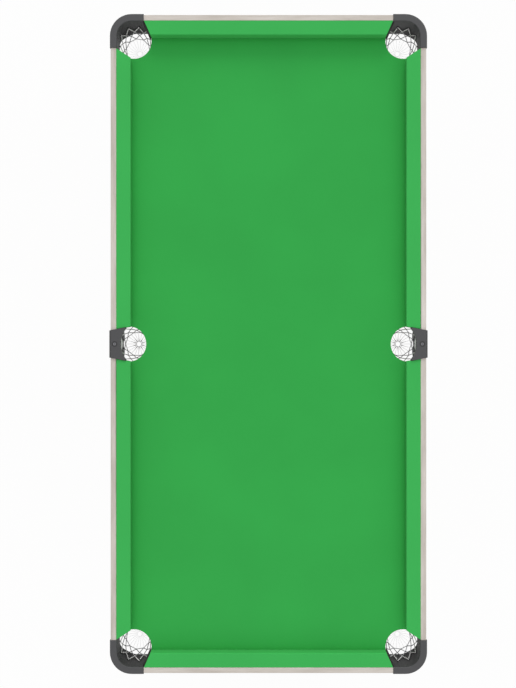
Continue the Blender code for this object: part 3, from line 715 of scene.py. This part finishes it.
@dataclass
class BedCloth:
    """The cloth stretched over the bed and turned down into the pockets."""

    colour: Colour = (48, 169, 72)
    wrap: float = 1.2 * MM
    turn_down: float = 11 * MM
    edge: float = 0.7 * MM
    side_hole: float = 328.4 * MM
    hole_radius: float = 42.3 * MM
    hole_share: float = 0.8
    play: float = 0.4 * MM
    upright: float = 0.1

    @property
    def holes(self) -> list[Pair]:
        """The middles of the six pocket holes."""
        x, y = CORNER_POCKET
        return [(x, y), (-x, y), (-x, -y), (x, -y), (self.side_hole, 0.0), (-self.side_hole, 0.0)]

    def distance(self, point: Vector) -> float:
        """How far a point is from the nearest pocket's centre."""
        return min(math.hypot(point.x - x, point.y - y) for x, y in self.holes)

    def on_hole(self, face: BMFace) -> bool:
        """Whether a face is part of the round wall of a pocket hole."""
        reach = self.distance(face.calc_center_median())
        return abs(face.normal.z) < self.upright and abs(reach - self.hole_radius) < self.play

    def under_wrap(self, face: BMFace) -> bool:
        """Whether a face is the underside of the cloth that wraps a hole."""
        reach = self.distance(face.calc_center_median())
        return face.normal.z < -FACING and reach < self.hole_radius - self.play

    def build(self) -> None:
        """Take the cloth, holed like the bed, turn it down at the holes and round its edges there."""
        low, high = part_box("bed_cloth")
        cloth = merged("bed_cloth", "bed_cloth_stretched")
        top = high[2] - CLOSE
        rim = self.hole_radius - self.wrap + self.play
        with editing(cloth):
            pick(cloth, "FACE", self.on_hole)
            bpy.ops.mesh.extrude_region_shrink_fatten(TRANSFORM_OT_shrink_fatten={"value": self.wrap})
            pick(cloth, "FACE", self.under_wrap)
            extrude((0, 0, -self.turn_down))
            pick(cloth, "EDGE", lambda e: all(v.co.z > top and self.distance(v.co) < rim for v in e.verts))
            bevel(self.edge, 3)
        settle_evenly(cloth)
        fit(cloth, TOP, Felt("bed_felt", self.colour).build(), "bed_cloth")
        report("bed cloth")


@dataclass
class Cushions:
    """Six cloth-covered cushions along the boards, each shaped at the foot end and turned to its place."""

    colour: Colour = (58, 179, 84)
    rubber: Colour = (38, 36, 35)
    depth: float = 32.5 * MM
    nose: float = 5 * MM
    heel: float = 28.7 * MM
    cloth: float = 0.9 * MM
    round_nose: float = 2.2 * MM
    fold: float = 0.8 * MM
    long_edge: float = 100 * MM
    facing: Triple = (4.2 * MM, 31 * MM, 22 * MM)
    facing_edge: float = 0.8 * MM
    places: tuple[tuple[str, float, SawCut, SawCut], ...] = (
        ("head_end", math.pi, SawCut.END, SawCut.END),
        ("foot_end", 0.0, SawCut.END, SawCut.END),
        ("head_right", math.pi / 2, SawCut.SIDE, SawCut.CORNER),
        ("foot_right", math.pi / 2, SawCut.CORNER, SawCut.SIDE),
        ("foot_left", -math.pi / 2, SawCut.SIDE, SawCut.CORNER),
        ("head_left", -math.pi / 2, SawCut.CORNER, SawCut.SIDE),
    )

    def cover(self, name: str, turn: float, cuts: list[SawCut], material: Material) -> None:
        """Shape one cover over its cushion.

        Args:
            name: Where the cushion is.
            turn: Turn about the vertical from the foot end's cushion.
            cuts: Its saw cuts, low end first.
            material: Its finish.
        """
        node = f"cushion_cloth_{name}"
        across = Matrix.Rotation(turn, 4, "Z")
        corners = [across.inverted() @ Vector(corner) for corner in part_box(node)]
        start = Vector([min(pair) for pair in zip(*corners)])
        end = Vector([max(pair) for pair in zip(*corners)])
        centre = (start + end) / 2
        nose_low = end.z - self.nose
        obj = block(f"cushion_cover_{name}", end - start, centre)
        apply_place(obj)
        with editing(obj):
            bpy.ops.mesh.select_all(action="SELECT")
            bpy.ops.mesh.bisect(plane_co=(0, 0, nose_low), plane_no=(0, 0, 1))
            pick(obj, "VERT", lambda v: v.co.z < nose_low - CLOSE and v.co.y > centre.y)
            bpy.ops.transform.translate(value=(0, self.heel - self.depth, 0))
            for side, saw_cut in zip((-1, 1), cuts):
                self.mitre(obj, side, saw_cut.value, start.y, centre.x)
            pick(obj, "EDGE", lambda e: self.along(e) and e.verts[0].co.y > end.y - CLOSE)
            bevel(self.round_nose, 4)
            pick(obj, "FACE", lambda f: f.normal.y < -FACING)
            bpy.ops.mesh.delete(type="FACE")
            pick(obj, "EDGE", self.at_end)
            bevel(self.fold, 2)
            bpy.ops.mesh.select_all(action="SELECT")
            bpy.ops.mesh.normals_make_consistent(inside=False)
        modify(obj, "SOLIDIFY", thickness=self.cloth, offset=-1, use_even_offset=True)
        obj.data.transform(across)
        settle_evenly(obj)
        fit(obj, TOP, material, node)

    @staticmethod
    def mitre(obj: Object, side: int, slope: float, board: float, middle: float) -> None:
        """Slope one end of a cover back from the board to the nose.

        Args:
            obj: The cover in edit mode.
            side: 1 or -1, the end.
            slope: How much the end falls back for each step away from the board.
            board: Where the board is, along the cover's depth.
            middle: The middle of the cover along its length.
        """
        for depth in {round(v.co.y, 5) for v in bmesh.from_edit_mesh(obj.data).verts}:
            pick(obj, "VERT", lambda v: abs(v.co.y - depth) < CLOSE and (v.co.x - middle) * side > 0)
            bpy.ops.transform.translate(value=(-side * slope * (depth - board), 0, 0))

    def along(self, edge: BMEdge) -> bool:
        """Whether an edge runs along the cushion."""
        return abs(edge.verts[0].co.x - edge.verts[1].co.x) > self.long_edge

    @staticmethod
    def at_end(edge: BMEdge) -> bool:
        """Whether an edge is between an end of the cover and its top, nose or underside."""
        ends = [abs(face.normal.x) > FACING for face in edge.link_faces]
        return len(ends) == 2 and ends[0] != ends[1]

    def facings(self, name: str, turn: float, material: Material) -> None:
        """Set a rubber facing against each saw cut of an end cushion.

        Args:
            name: Where the cushion is.
            turn: Turn about the vertical from the foot end's cushion.
            material: Their finish.
        """
        low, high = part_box(f"cushion_cloth_{name}")
        thickness, _, tall = self.facing
        slope = SawCut.END.value
        lean = math.atan(slope)
        out = self.depth / 2
        y = out - max(abs(low[1]), abs(high[1]))
        made = []
        for side in (-1, 1):
            x = side * (high[0] - slope * out + thickness / 2 / math.cos(lean))
            plate = settle(block("facing", self.facing, (x, y, low[2] + tall / 2), side * lean))
            with editing(plate):
                pick(plate, "EDGE", lambda e: all(v.co.z > low[2] + tall - CLOSE for v in e.verts))
                bevel(self.facing_edge, 2)
            made.append(plate)
        piece = join(made, f"cushion_facings_{name}")
        piece.data.transform(Matrix.Rotation(turn, 4, "Z"))
        fit(settle(piece), TOP, material)

    def build(self) -> None:
        """Make and dress all six, and give the strips and rubbers inside them their own finish."""
        green = Felt("cushion_felt", self.colour, patches=0.04).build()
        rubber = Speckled("cushion_rubber", self.rubber, 0.75).build()
        wood = Timber("cushion_strip", Run.LENGTHWISE, *RAW_WOOD).build()
        for name, turn, *cuts in self.places:
            self.cover(name, turn, cuts, green)
            finish_as(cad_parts[f"cushion_rubber_{name}"], rubber)
            finish_as(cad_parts[f"cushion_strip_{name}"], wood)
            if name.endswith("end"):
                self.facings(name, turn, rubber)
        report("cushions", len(self.places))


@dataclass(frozen=True)
class Net:
    """A knotted cord net about its own axis with the outer side at +X.

    Cords slant both ways from their loops, cross each other twice and end at the corners of a ring. Fine
    cords run on from the ring round the foot to a small open hub. A place is a count of steps round the
    net from the outer side: the loops have odd places and the corners of the ring even ones. Thicknesses
    and the size of a knot are shares of the cord's radius.
    """

    wall: Wall
    wall_distance: float
    peg_turns: tuple[float, ...]
    peg_height: float
    fine: float = 0.16
    tie: float = 0.16
    loops: int = 10
    bed_height: float = 719.2 * MM
    bed_reach: float = 44 * MM
    sinks: tuple[float, ...] = (0.0, 0.37, 0.64, 1.0)
    ring_radius: float = 28.9 * MM
    ring_height: float = 681 * MM
    ring_thickness: float = 0.9
    hub_radius: float = 6 * MM
    hub_height: float = 661.8 * MM
    cord: float = 0.95 * MM
    off_wall: float = 1.6 * MM
    header_bow: Triple = (-2.4 * MM, 0.0, 6.5 * MM)
    header_thickness: Pair = (1.2, 0.6)
    tie_taper: int = 5
    tie_end: float = 0.45
    knot: float = 1.3
    knot_height: float = 0.85
    steps: int = 12
    peg_radius: float = 1 * MM
    peg_length: float = 2.4 * MM
    peg_head: tuple[Pair, ...] = ((0.2 * MM, 1.7), (0.7 * MM, 0.8))
    peg_set_out: float = 1 * MM

    def turn(self, place: int) -> float:
        """The turn of a place from the outer side, between minus and plus half a turn."""
        return (place * math.pi / self.loops + math.pi) % (2 * math.pi) - math.pi

    def wall_reach(self, turn: float) -> float:
        """How far the wall is from the axis at a turn."""
        return self.wall_distance / math.cos(max(abs(turn) - self.wall.value, 0.0))

    def peg(self, place: int) -> int:
        """The count of a loop from the outer side, and of the peg that it may hang on."""
        return round((abs(self.turn(place)) * self.loops / math.pi - 1) / 2)

    def pegged(self, place: int) -> bool:
        """Whether the loop at a place hangs on a peg of the wall."""
        return self.peg(place) < len(self.peg_turns)

    @staticmethod
    def spot(turn: float, radius: float, height: float) -> Vector:
        """A point round the axis."""
        return Vector((radius * math.cos(turn), radius * math.sin(turn), height))

    def on_wall(self, turn: float, height: float) -> Vector:
        """Where a cord lies on the wall."""
        return self.spot(turn, self.wall_reach(turn) - self.off_wall, height)

    def loop(self, place: int) -> Vector:
        """Where a loop is held, on a peg of the wall or under the bed.

        Args:
            place: The loop's place.

        Returns:
            The point.
        """
        turn = self.turn(place)
        if not self.pegged(place):
            return self.spot(turn, self.bed_reach, self.bed_height)
        return self.on_wall(math.copysign(self.peg_turns[self.peg(place)], turn), self.peg_height)

    def mouth(self, place: int) -> Vector:
        """A loop, or the point midway between two loops, which lies on the wall if they both do.

        Args:
            place: An odd place for a loop, or an even one.

        Returns:
            The point.
        """
        if place % 2:
            return self.loop(place)
        point = (self.loop(place - 1) + self.loop(place + 1)) / 2
        if self.pegged(place - 1) and self.pegged(place + 1):
            return self.on_wall(math.atan2(point.y, point.x), point.z)
        return point

    def ring(self, place: int) -> Vector:
        """A corner of the ring, or the middle of one of its sides."""
        inset_share = math.cos(math.pi / self.loops) if place % 2 else 1.0
        return self.spot(self.turn(place), self.ring_radius * inset_share, self.ring_height)

    def crossing(self, place: int, row: int) -> Vector:
        """Where cords cross in a row, counted down from the mouth."""
        return self.mouth(place).lerp(self.ring(place), self.sinks[row])

    def slant(self, place: int, way: int) -> Line:
        """A cord from its loop through the crossings to a corner of the ring, one way or the other."""
        points = [self.crossing(place + way * row, row) for row in range(len(self.sinks))]
        return Line(points, [1.0] * len(points))

    def fine_cord(self, place: int) -> Line:
        """A fine cord from the ring round the foot to the hub, where every other one is tied thick.

        Args:
            place: Where it leaves the ring.

        Returns:
            The line.
        """
        reach = self.ring(place).xy.length
        end = self.tie if place % 2 else self.fine
        line = Line([], [])
        for i in range(self.steps + 1):
            share = i / self.steps
            radius = self.hub_radius + (reach - self.hub_radius) * math.cos(share * math.pi / 2)
            height = self.ring_height - (self.ring_height - self.hub_height) * math.sin(share * math.pi / 2)
            line.points.append(self.spot(self.turn(place), radius, height))
            grown = self.tie_end if i == self.steps else share**self.tie_taper
            line.radii.append(self.fine + (end - self.fine) * grown)
        return line

    def header(self) -> Line:
        """A thick cord that bows up along a flat wall from one outer peg to the other.

        Returns:
            The line.
        """
        first, last = self.loop(-1), self.loop(1)
        thin, more = self.header_thickness
        line = Line([], [])
        for i in range(self.steps + 1):
            bow = math.sin(math.pi * i / self.steps)
            line.points.append(first.lerp(last, i / self.steps) + bow * Vector(self.header_bow))
            line.radii.append(thin + more * bow)
        return line

    def build(self, name: str) -> Object:
        """Tie the net.

        Args:
            name: The piece's name.

        Returns:
            The net about the vertical through the origin.
        """
        places = range(2 * self.loops)
        odd = places[1::2]
        lines = [self.slant(place, way) for place in odd for way in (1, -1)]
        lines += [self.fine_cord(place) for place in places]
        ring = [self.ring(place) for place in places[::2]]
        lines.append(Line(ring, [self.ring_thickness] * len(ring), True))
        hub = [self.spot(self.turn(place), self.hub_radius, self.hub_height) for place in places]
        lines.append(Line(hub, [self.fine] * len(hub), True))
        if self.wall is Wall.FLAT:
            lines.append(self.header())
        net = tube(name, lines, self.cord)
        add = bpy.ops.mesh.primitive_ico_sphere_add
        knot = new_piece("knot", add, subdivisions=2, radius=self.knot * self.cord)
        with editing(knot):
            bpy.ops.mesh.select_all(action="SELECT")
            bpy.ops.transform.resize(value=(1.0, 1.0, self.knot_height))
        spots = [self.crossing(place + row, row) for place in odd for row in range(1, len(self.sinks))]
        tied = copies(knot, [Matrix.Translation(spot) for spot in spots])
        bpy.data.objects.remove(knot)
        return settle(join([net, *tied], name), SMOOTH_CORD)

    def pegs(self, name: str) -> Object:
        """The moulded pegs that the outer loops hang on.

        Args:
            name: The piece's name.

        Returns:
            The pegs about the vertical through the origin.
        """
        peg = disc("peg", self.peg_radius, self.peg_length, 16)
        with editing(peg):
            pick(peg, "FACE", lambda f: f.normal.z > FACING)
            for rise, share in self.peg_head:
                extrude((0, 0, rise))
                bpy.ops.transform.resize(value=(share, share, 1.0))
        inwards = Matrix.Rotation(-math.pi / 2, 4, "Y") @ Matrix.Translation((0, 0, self.peg_set_out))
        places = []
        for place in filter(self.pegged, range(1, 2 * self.loops, 2)):
            held = self.loop(place)
            turn = math.atan2(held.y, held.x)
            facing = turn if abs(turn) < self.wall.value else math.copysign(self.wall.value, turn)
            spot = self.spot(turn, self.wall_reach(turn), self.peg_height - self.cord - self.peg_radius)
            places.append(Matrix.Translation(spot) @ Matrix.Rotation(facing, 4, "Z") @ inwards)
        made = copies(peg, places)
        bpy.data.objects.remove(peg)
        return settle(join(made, name))


@dataclass
class Pockets:
    """Corner caps, side caps with their screws, nets and pegs."""

    corner_net: Net = Net(Wall.ROUND, 33.7 * MM, (math.radians(21), math.radians(65)), 733.5 * MM)
    side_net: Net = Net(Wall.FLAT, 29.5 * MM, (math.radians(33),), 740 * MM, fine=0.26, tie=1.6)
    side_x: float = 0.3175
    cap_edge: float = 0.35 * MM
    # Painted shade: heights below which the caps' walls and outer chamfers, and the lower net cords, darken
    cap_fade: Pair = (762.2 * MM, 764.2 * MM)
    cord_shade_heights: Pair = (708 * MM, 722 * MM)
    # Painted shade: a dark dished ring round each side cap's screw stands in for the shade in the screw's
    # recess
    washer_radius: float = 6.4 * MM
    washer_height: float = 0.25 * MM
    washer_dish: tuple[Pair, ...] = ((0.8 * MM, 0.0), (1.2 * MM, -0.15 * MM))
    corners: tuple[str, ...] = ("head_right", "head_left", "foot_left", "foot_right")
    sides: tuple[str, ...] = ("right", "left")

    def place(self, name: str) -> Matrix:
        """Where a pocket's net goes, with its outer side away from the bed.

        Args:
            name: The pocket's name.

        Returns:
            The place and turn.
        """
        across = 1 if name.endswith("right") else -1
        along = {"head": 1, "foot": -1, "side": 0}[name.split("_")[0]]
        x, y = CORNER_POCKET if along else (self.side_x, 0.0)
        turn = Matrix.Rotation(math.atan2(along, across), 4, "Z")
        return Matrix.Translation((across * x, along * y, 0)) @ turn

    def washer(self, side: str, material: Material) -> None:
        """Lay a dark dished ring round the screw of a side cap, as painted shade of the screw's recess.

        Args:
            side: Left or right.
            material: Its near-black finish, the painted shade.
        """
        low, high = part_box(f"side_cap_screw_{side}")
        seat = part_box(f"side_cap_{side}")[1][2]
        place = ((low[0] + high[0]) / 2, 0, seat + self.washer_height / 2)
        name = f"screw_washer_{side}"
        piece = settle(disc(name, self.washer_radius, self.washer_height, 32, location=place))
        with editing(piece):
            pick(piece, "FACE", lambda f: f.normal.z > FACING)
            inset(self.washer_dish)
        fit(settle(piece), TOP, material)

    def hang(self, net: Net, names: list[str], cord: Material, plastic: Material) -> None:
        """Hang a net with its pegs in each pocket of its kind.

        Args:
            net: The net.
            names: The pockets' names.
            cord: The net's finish.
            plastic: The pegs' finish.
        """
        pattern = net.build("net_pattern")
        pegs = net.pegs("peg_pattern")
        for name in names:
            place = self.place(name)
            fit(copy_at(pattern, f"net_{name}", place), TOP, cord, f"pocket_net_{name}")
            fit(copy_at(pegs, f"net_pegs_{name}", place), TOP, plastic)
        bpy.data.objects.remove(pattern)
        bpy.data.objects.remove(pegs)

    def build(self) -> None:
        """Refine the caps and screws, and hang the nets."""
        # Painted shade: the caps' inner walls and outer chamfers darken to near black below the top, where
        # shade falls
        inside = {"painted_shade": (25, 25, 26), "fade": self.cap_fade}
        plastic = Speckled("cap_moulding", (64, 64, 66), 0.55, **inside).build()
        steel = Speckled("screw_steel", (120, 120, 124), 0.38, 700.0, 0.05, 1.0).build()
        # Painted shade: near-black finish of the rings round the side caps' screws
        black = Speckled("washer_moulding", (34, 34, 35), 0.6).build()
        # Painted shade: the white cords darken below the wall's top, where they hang in the pocket's shade
        cord_painted_shade = {"painted_shade": (165, 165, 169), "fade": self.cord_shade_heights}
        cord = Speckled("net_cord", (238, 236, 236), 0.85, 2400.0, 0.18, depth=0.2 * MM, **cord_painted_shade).build()
        for name in self.corners:
            refined(f"corner_cap_{name}", TOP, plastic, self.cap_edge)
        for side in self.sides:
            refined(f"side_cap_{side}", TOP, plastic, self.cap_edge)
            refined(f"side_cap_screw_{side}", TOP, steel)
            self.washer(side, black)
        self.hang(self.corner_net, list(self.corners), cord, plastic)
        self.hang(self.side_net, [f"side_{side}" for side in self.sides], cord, plastic)
        report("pockets", len(self.corners) + len(self.sides))


@dataclass
class Hardware:
    """Screws under the bed, in the brackets and in the battens."""

    head_radius: float = 4.2 * MM
    head_height: float = 2.2 * MM
    head_edge: float = 1.2 * MM
    recess: Triple = (4.4 * MM, 1 * MM, 2 * MM)
    flange: float = 3 * MM
    flange_set_in: float = 1.5 * MM
    flange_reach: float = 29 * MM
    batten_y: float = 0.688
    batten_x: tuple[float, ...] = (-0.16, -0.055, 0.055, 0.16)
    side_x: float = 0.3452
    side_y: tuple[float, ...] = (0.12, 0.36, 0.6)
    end_y: float = 0.7407
    end_x: tuple[float, ...] = (-0.18, 0.0, 0.18)

    def screw(self) -> Object:
        """A pan head with a cross recess, head down, with its seat at the origin.

        Returns:
            The head.
        """
        place = (0, 0, -self.head_height / 2)
        head = settle(disc("screw", self.head_radius, self.head_height, 24, location=place))
        with editing(head):
            pick(head, "EDGE", lambda e: all(v.co.z < CLOSE - self.head_height for v in e.verts))
            bevel(self.head_edge, 3)
        for turn in (0.0, math.pi / 2):
            cut(head, settle(block("slot", self.recess, (0, 0, -self.head_height), turn)))
        return settle(head, SMOOTH_SCREW)

    def build(self) -> None:
        """Set the screws where they hold something."""
        steel = Speckled("fixing_steel", (160, 158, 150), 0.38, 700.0, 0.06, 1.0).build()
        batten_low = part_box("leg_batten_head")[0][2]
        bed_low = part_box("bed_board")[0][2]
        signs = (1, -1)
        brackets = []
        for end, _ in ENDS:
            for side, way in SIDES:
                low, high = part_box(f"leg_bracket_{end}_{side}")
                x = (low[0] + high[0]) / 2 - way * self.flange_set_in
                y = (low[1] + high[1]) / 2
                z = high[2] - self.flange
                brackets += [(x, y - self.flange_reach, z), (x, y + self.flange_reach, z)]
        rails = [(a * self.side_x, b * y, bed_low) for a in signs for b in signs for y in self.side_y]
        rails += [(x, b * self.end_y, bed_low) for b in signs for x in self.end_x]
        sets = {
            "bracket_screws": brackets,
            "batten_screws": [(x, b * self.batten_y, batten_low) for b in signs for x in self.batten_x],
            "cushion_screws": rails,
        }
        pattern = self.screw()
        for name, spots in sets.items():
            made = copies(pattern, [Matrix.Translation(spot) for spot in spots])
            fit(settle(join(made, name), SMOOTH_SCREW), TOP, steel)
            report(name, len(spots))
        bpy.data.objects.remove(pattern)


@dataclass
class LegFrames:
    """Two folding frames of coated tube with brackets, knobs, feet, weld beads and end plugs."""

    leg_x: float = 0.235
    leg_radius: float = 12.5 * MM
    pivot_radius: float = 14 * MM
    cross_radius: float = 11 * MM
    pivot_y: float = 0.706
    pivot_z: float = 0.6831
    cross_height: float = 0.180
    bead: float = 1.5 * MM
    bead_steps: int = 40
    ripple: float = 0.12
    ripple_turn: float = 2.3
    plug_length: float = 2.4 * MM
    plug_edge: float = 1.2 * MM
    plug_dish: tuple[Pair, ...] = ((3.5 * MM, 0.0), (1.5 * MM, -0.5 * MM))
    plug_shank: tuple[Pair, ...] = ((1.8 * MM, 0.0),)
    plug_bite: float = 9 * MM
    bracket_edge: float = 0.4 * MM
    knob_edge: float = 0.5 * MM
    foot_edge: float = 0.4 * MM

    def beads(self, name: str, y: float) -> Object:
        """Weld beads where the legs meet the pivot tube and the cross tube.

        Args:
            name: The piece's name.
            y: The frame's place along the table.

        Returns:
            The beads of one frame.
        """
        lines = []
        ripple = [1.0 + self.ripple * math.sin(i * self.ripple_turn) for i in range(self.bead_steps)]
        for _, way in SIDES:
            saddle = []
            mouth = []
            for i in range(self.bead_steps):
                turn = 2 * math.pi * i / self.bead_steps
                across = self.leg_radius * math.sin(turn)
                drop = math.sqrt(self.pivot_radius**2 - across**2)
                x = way * self.leg_x + self.leg_radius * math.cos(turn)
                saddle.append(Vector((x, y + across, self.pivot_z - drop)))
                sideways = self.cross_radius * math.cos(turn)
                reach = math.sqrt(self.leg_radius**2 - sideways**2)
                height = self.cross_height + self.cross_radius * math.sin(turn)
                mouth.append(Vector((way * (self.leg_x - reach), y + sideways, height)))
            lines += [Line(saddle, ripple, True), Line(mouth, ripple, True)]
        return settle(tube(name, lines, self.bead), SMOOTH_CORD)

    def plug(self) -> Object:
        """A domed end plug on the +X side of the origin.

        Returns:
            The plug's pattern.
        """
        where = {"location": (self.plug_length / 2, 0, 0), "rotation": (0, math.pi / 2, 0)}
        plug = settle(disc("plug", self.pivot_radius, self.plug_length, 32, **where))
        outer = self.pivot_radius - CLOSE
        with editing(plug):
            pick(plug, "FACE", lambda f: f.normal.x > FACING)
            inset(self.plug_dish)
            pick(plug, "EDGE", lambda e: all(v.co.x > CLOSE and v.co.yz.length > outer for v in e.verts))
            bevel(self.plug_edge, 3)
            pick(plug, "FACE", lambda f: f.normal.x < -FACING)
            inset(self.plug_shank)
            extrude((-self.plug_bite, 0, 0))
        return settle(plug)

    def build(self) -> None:
        """Refine the steel and plastic pieces and add the beads and plugs."""
        coat = Speckled("leg_coating", (54, 54, 56), 0.42, 420.0, 0.08, depth=0.06 * MM).build()
        bracket = Speckled("bracket_coating", (60, 60, 62), 0.45, 420.0, 0.08, depth=0.06 * MM).build()
        knob = Speckled("knob_moulding", (30, 30, 31), 0.5).build()
        foot = Speckled("foot_moulding", (38, 38, 39), 0.7, 600.0).build()
        plug = self.plug()
        for end, sign in ENDS:
            body = f"leg_frame_{end}"
            y = sign * self.pivot_y
            for node in (f"pivot_tube_{end}", f"leg_stretcher_{end}"):
                refined(node, body, coat)
            fit(self.beads(f"weld_beads_{end}", y), body, coat)
            tube_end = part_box(f"pivot_tube_{end}")[1][0]
            for side, way in SIDES:
                spot = f"{end}_{side}"
                refined(f"leg_tube_{spot}", body, coat)
                refined(f"leg_bracket_{spot}", TOP, bracket, self.bracket_edge)
                refined(f"lock_knob_{spot}", f"lock_knob_{spot}", knob, self.knob_edge)
                refined(f"levelling_foot_{spot}", f"levelling_foot_{spot}", foot, self.foot_edge)
                turned = Matrix.Rotation(0.0 if way > 0 else math.pi, 4, "Z")
                place = Matrix.Translation((way * tube_end, y, self.pivot_z)) @ turned
                fit(copy_at(plug, f"tube_plug_{spot}", place), body, knob)
            report(f"leg frame {end}")
        bpy.data.objects.remove(plug)


@dataclass(frozen=True)
class Lamp:
    """A far lamp: the share of a plain level of light that it gives the bed, and its angles in degrees.

    It rises above the floor, bears round the table from +X, and fills an angle of the sky.
    """

    name: str
    share: float
    rise: float
    bearing: float
    width: float
    distance: float = 4.0

    def build(self) -> None:
        """Set the lamp."""
        rise = math.radians(self.rise)
        bearing = math.radians(self.bearing)
        level = math.cos(rise)
        towards = Vector((level * math.cos(bearing), level * math.sin(bearing), math.sin(rise)))
        turn = towards.to_track_quat("Z", "Y").to_euler()
        place = towards * self.distance
        lamp = new_piece(self.name, bpy.ops.object.light_add, type="SUN", location=place, rotation=turn)
        lamp.data.energy = math.pi * self.share / math.sin(rise)
        lamp.data.angle = math.radians(self.width)


@dataclass
class Studio:
    """A pale floor, soft light and the camera straight above the table."""

    camera_height: float = 2.362
    lens: float = 36.26
    sensor: float = 36.0
    shift: float = -0.01523
    sky: float = 0.64
    lamps: tuple[Lamp, ...] = (
        Lamp("overhead_lamp", 0.06, 90.0, 90.0, 25.0),
        Lamp("head_lamp", 0.18, 25.0, 90.0, 30.0),
        Lamp("foot_lamp", 0.05, 25.0, -90.0, 40.0),
        Lamp("right_lamp", 0.05, 35.0, 0.0, 40.0),
    )
    floor_size: float = 30.0
    floor_grey: float = 0.82
    shadow_share: float = 0.06

    @staticmethod
    def seen(graph: Graph) -> NodeSocket:
        """Whether a ray comes from the camera, directly, by a mirror or through glass."""
        path = graph.add("ShaderNodeLightPath").outputs
        direct = graph.maths("MAXIMUM", path["Is Camera Ray"], path["Is Glossy Ray"])
        return graph.maths("MAXIMUM", direct, path["Is Transmission Ray"])

    def floor(self) -> None:
        """Lay the floor, white to the camera but for a faint shadow."""
        obj = new_piece("floor", bpy.ops.mesh.primitive_plane_add, size=self.floor_size)
        material = bpy.data.materials.new("studio_floor")
        material.use_nodes = True
        graph = Graph(material.node_tree)
        shader = material.node_tree.nodes["Principled BSDF"]
        graph.feed(shader, {"Base Color": (*[self.floor_grey] * 3, 1), "Roughness": 0.9})
        white = graph.add("ShaderNodeEmission", {"Color": (1, 1, 1, 1), "Strength": 1.0})
        share = graph.times(self.seen(graph), 1 - self.shadow_share)
        mixed = graph.add("ShaderNodeMixShader", {0: share, 1: shader.outputs[0], 2: white.outputs[0]})
        graph.feed(material.node_tree.nodes["Material Output"], {"Surface": mixed.outputs[0]})
        finish_as(obj, material)

    def light(self) -> None:
        """Set an even sky and soft lamps overhead, from both ends and from the right."""
        world = bpy.data.worlds.new("studio_sky")
        bpy.context.scene.world = world
        world.use_nodes = True
        graph = Graph(world.node_tree)
        strength = graph.spread(self.seen(graph), 0.0, 1.0, self.sky, 1.0)
        graph.feed(world.node_tree.nodes["Background"], {"Color": (1, 1, 1, 1), "Strength": strength})
        for lamp in self.lamps:
            lamp.build()

    def camera(self) -> None:
        """Hang the camera over the middle of the table."""
        place = (0, 0, self.camera_height)
        obj = new_piece("camera", bpy.ops.object.camera_add, location=place, rotation=(0, 0, 0))
        obj.data.sensor_width = self.sensor
        obj.data.lens = self.lens
        obj.data.shift_x = self.shift
        bpy.context.scene.camera = obj

    def build(self) -> None:
        """Set up the studio."""
        bpy.context.scene.view_settings.view_transform = "Standard"
        self.floor()
        self.light()
        self.camera()
        report("studio")


def main() -> None:
    """Dress the table and set the studio."""
    logging.basicConfig(level=logging.INFO, format="%(name)s %(message)s")
    Studio().build()
    Boards().dress()
    BedCloth().build()
    Cushions().build()
    Pockets().build()
    Hardware().build()
    LegFrames().build()
    deselect_all()


if __name__ == "__main__":
    main()
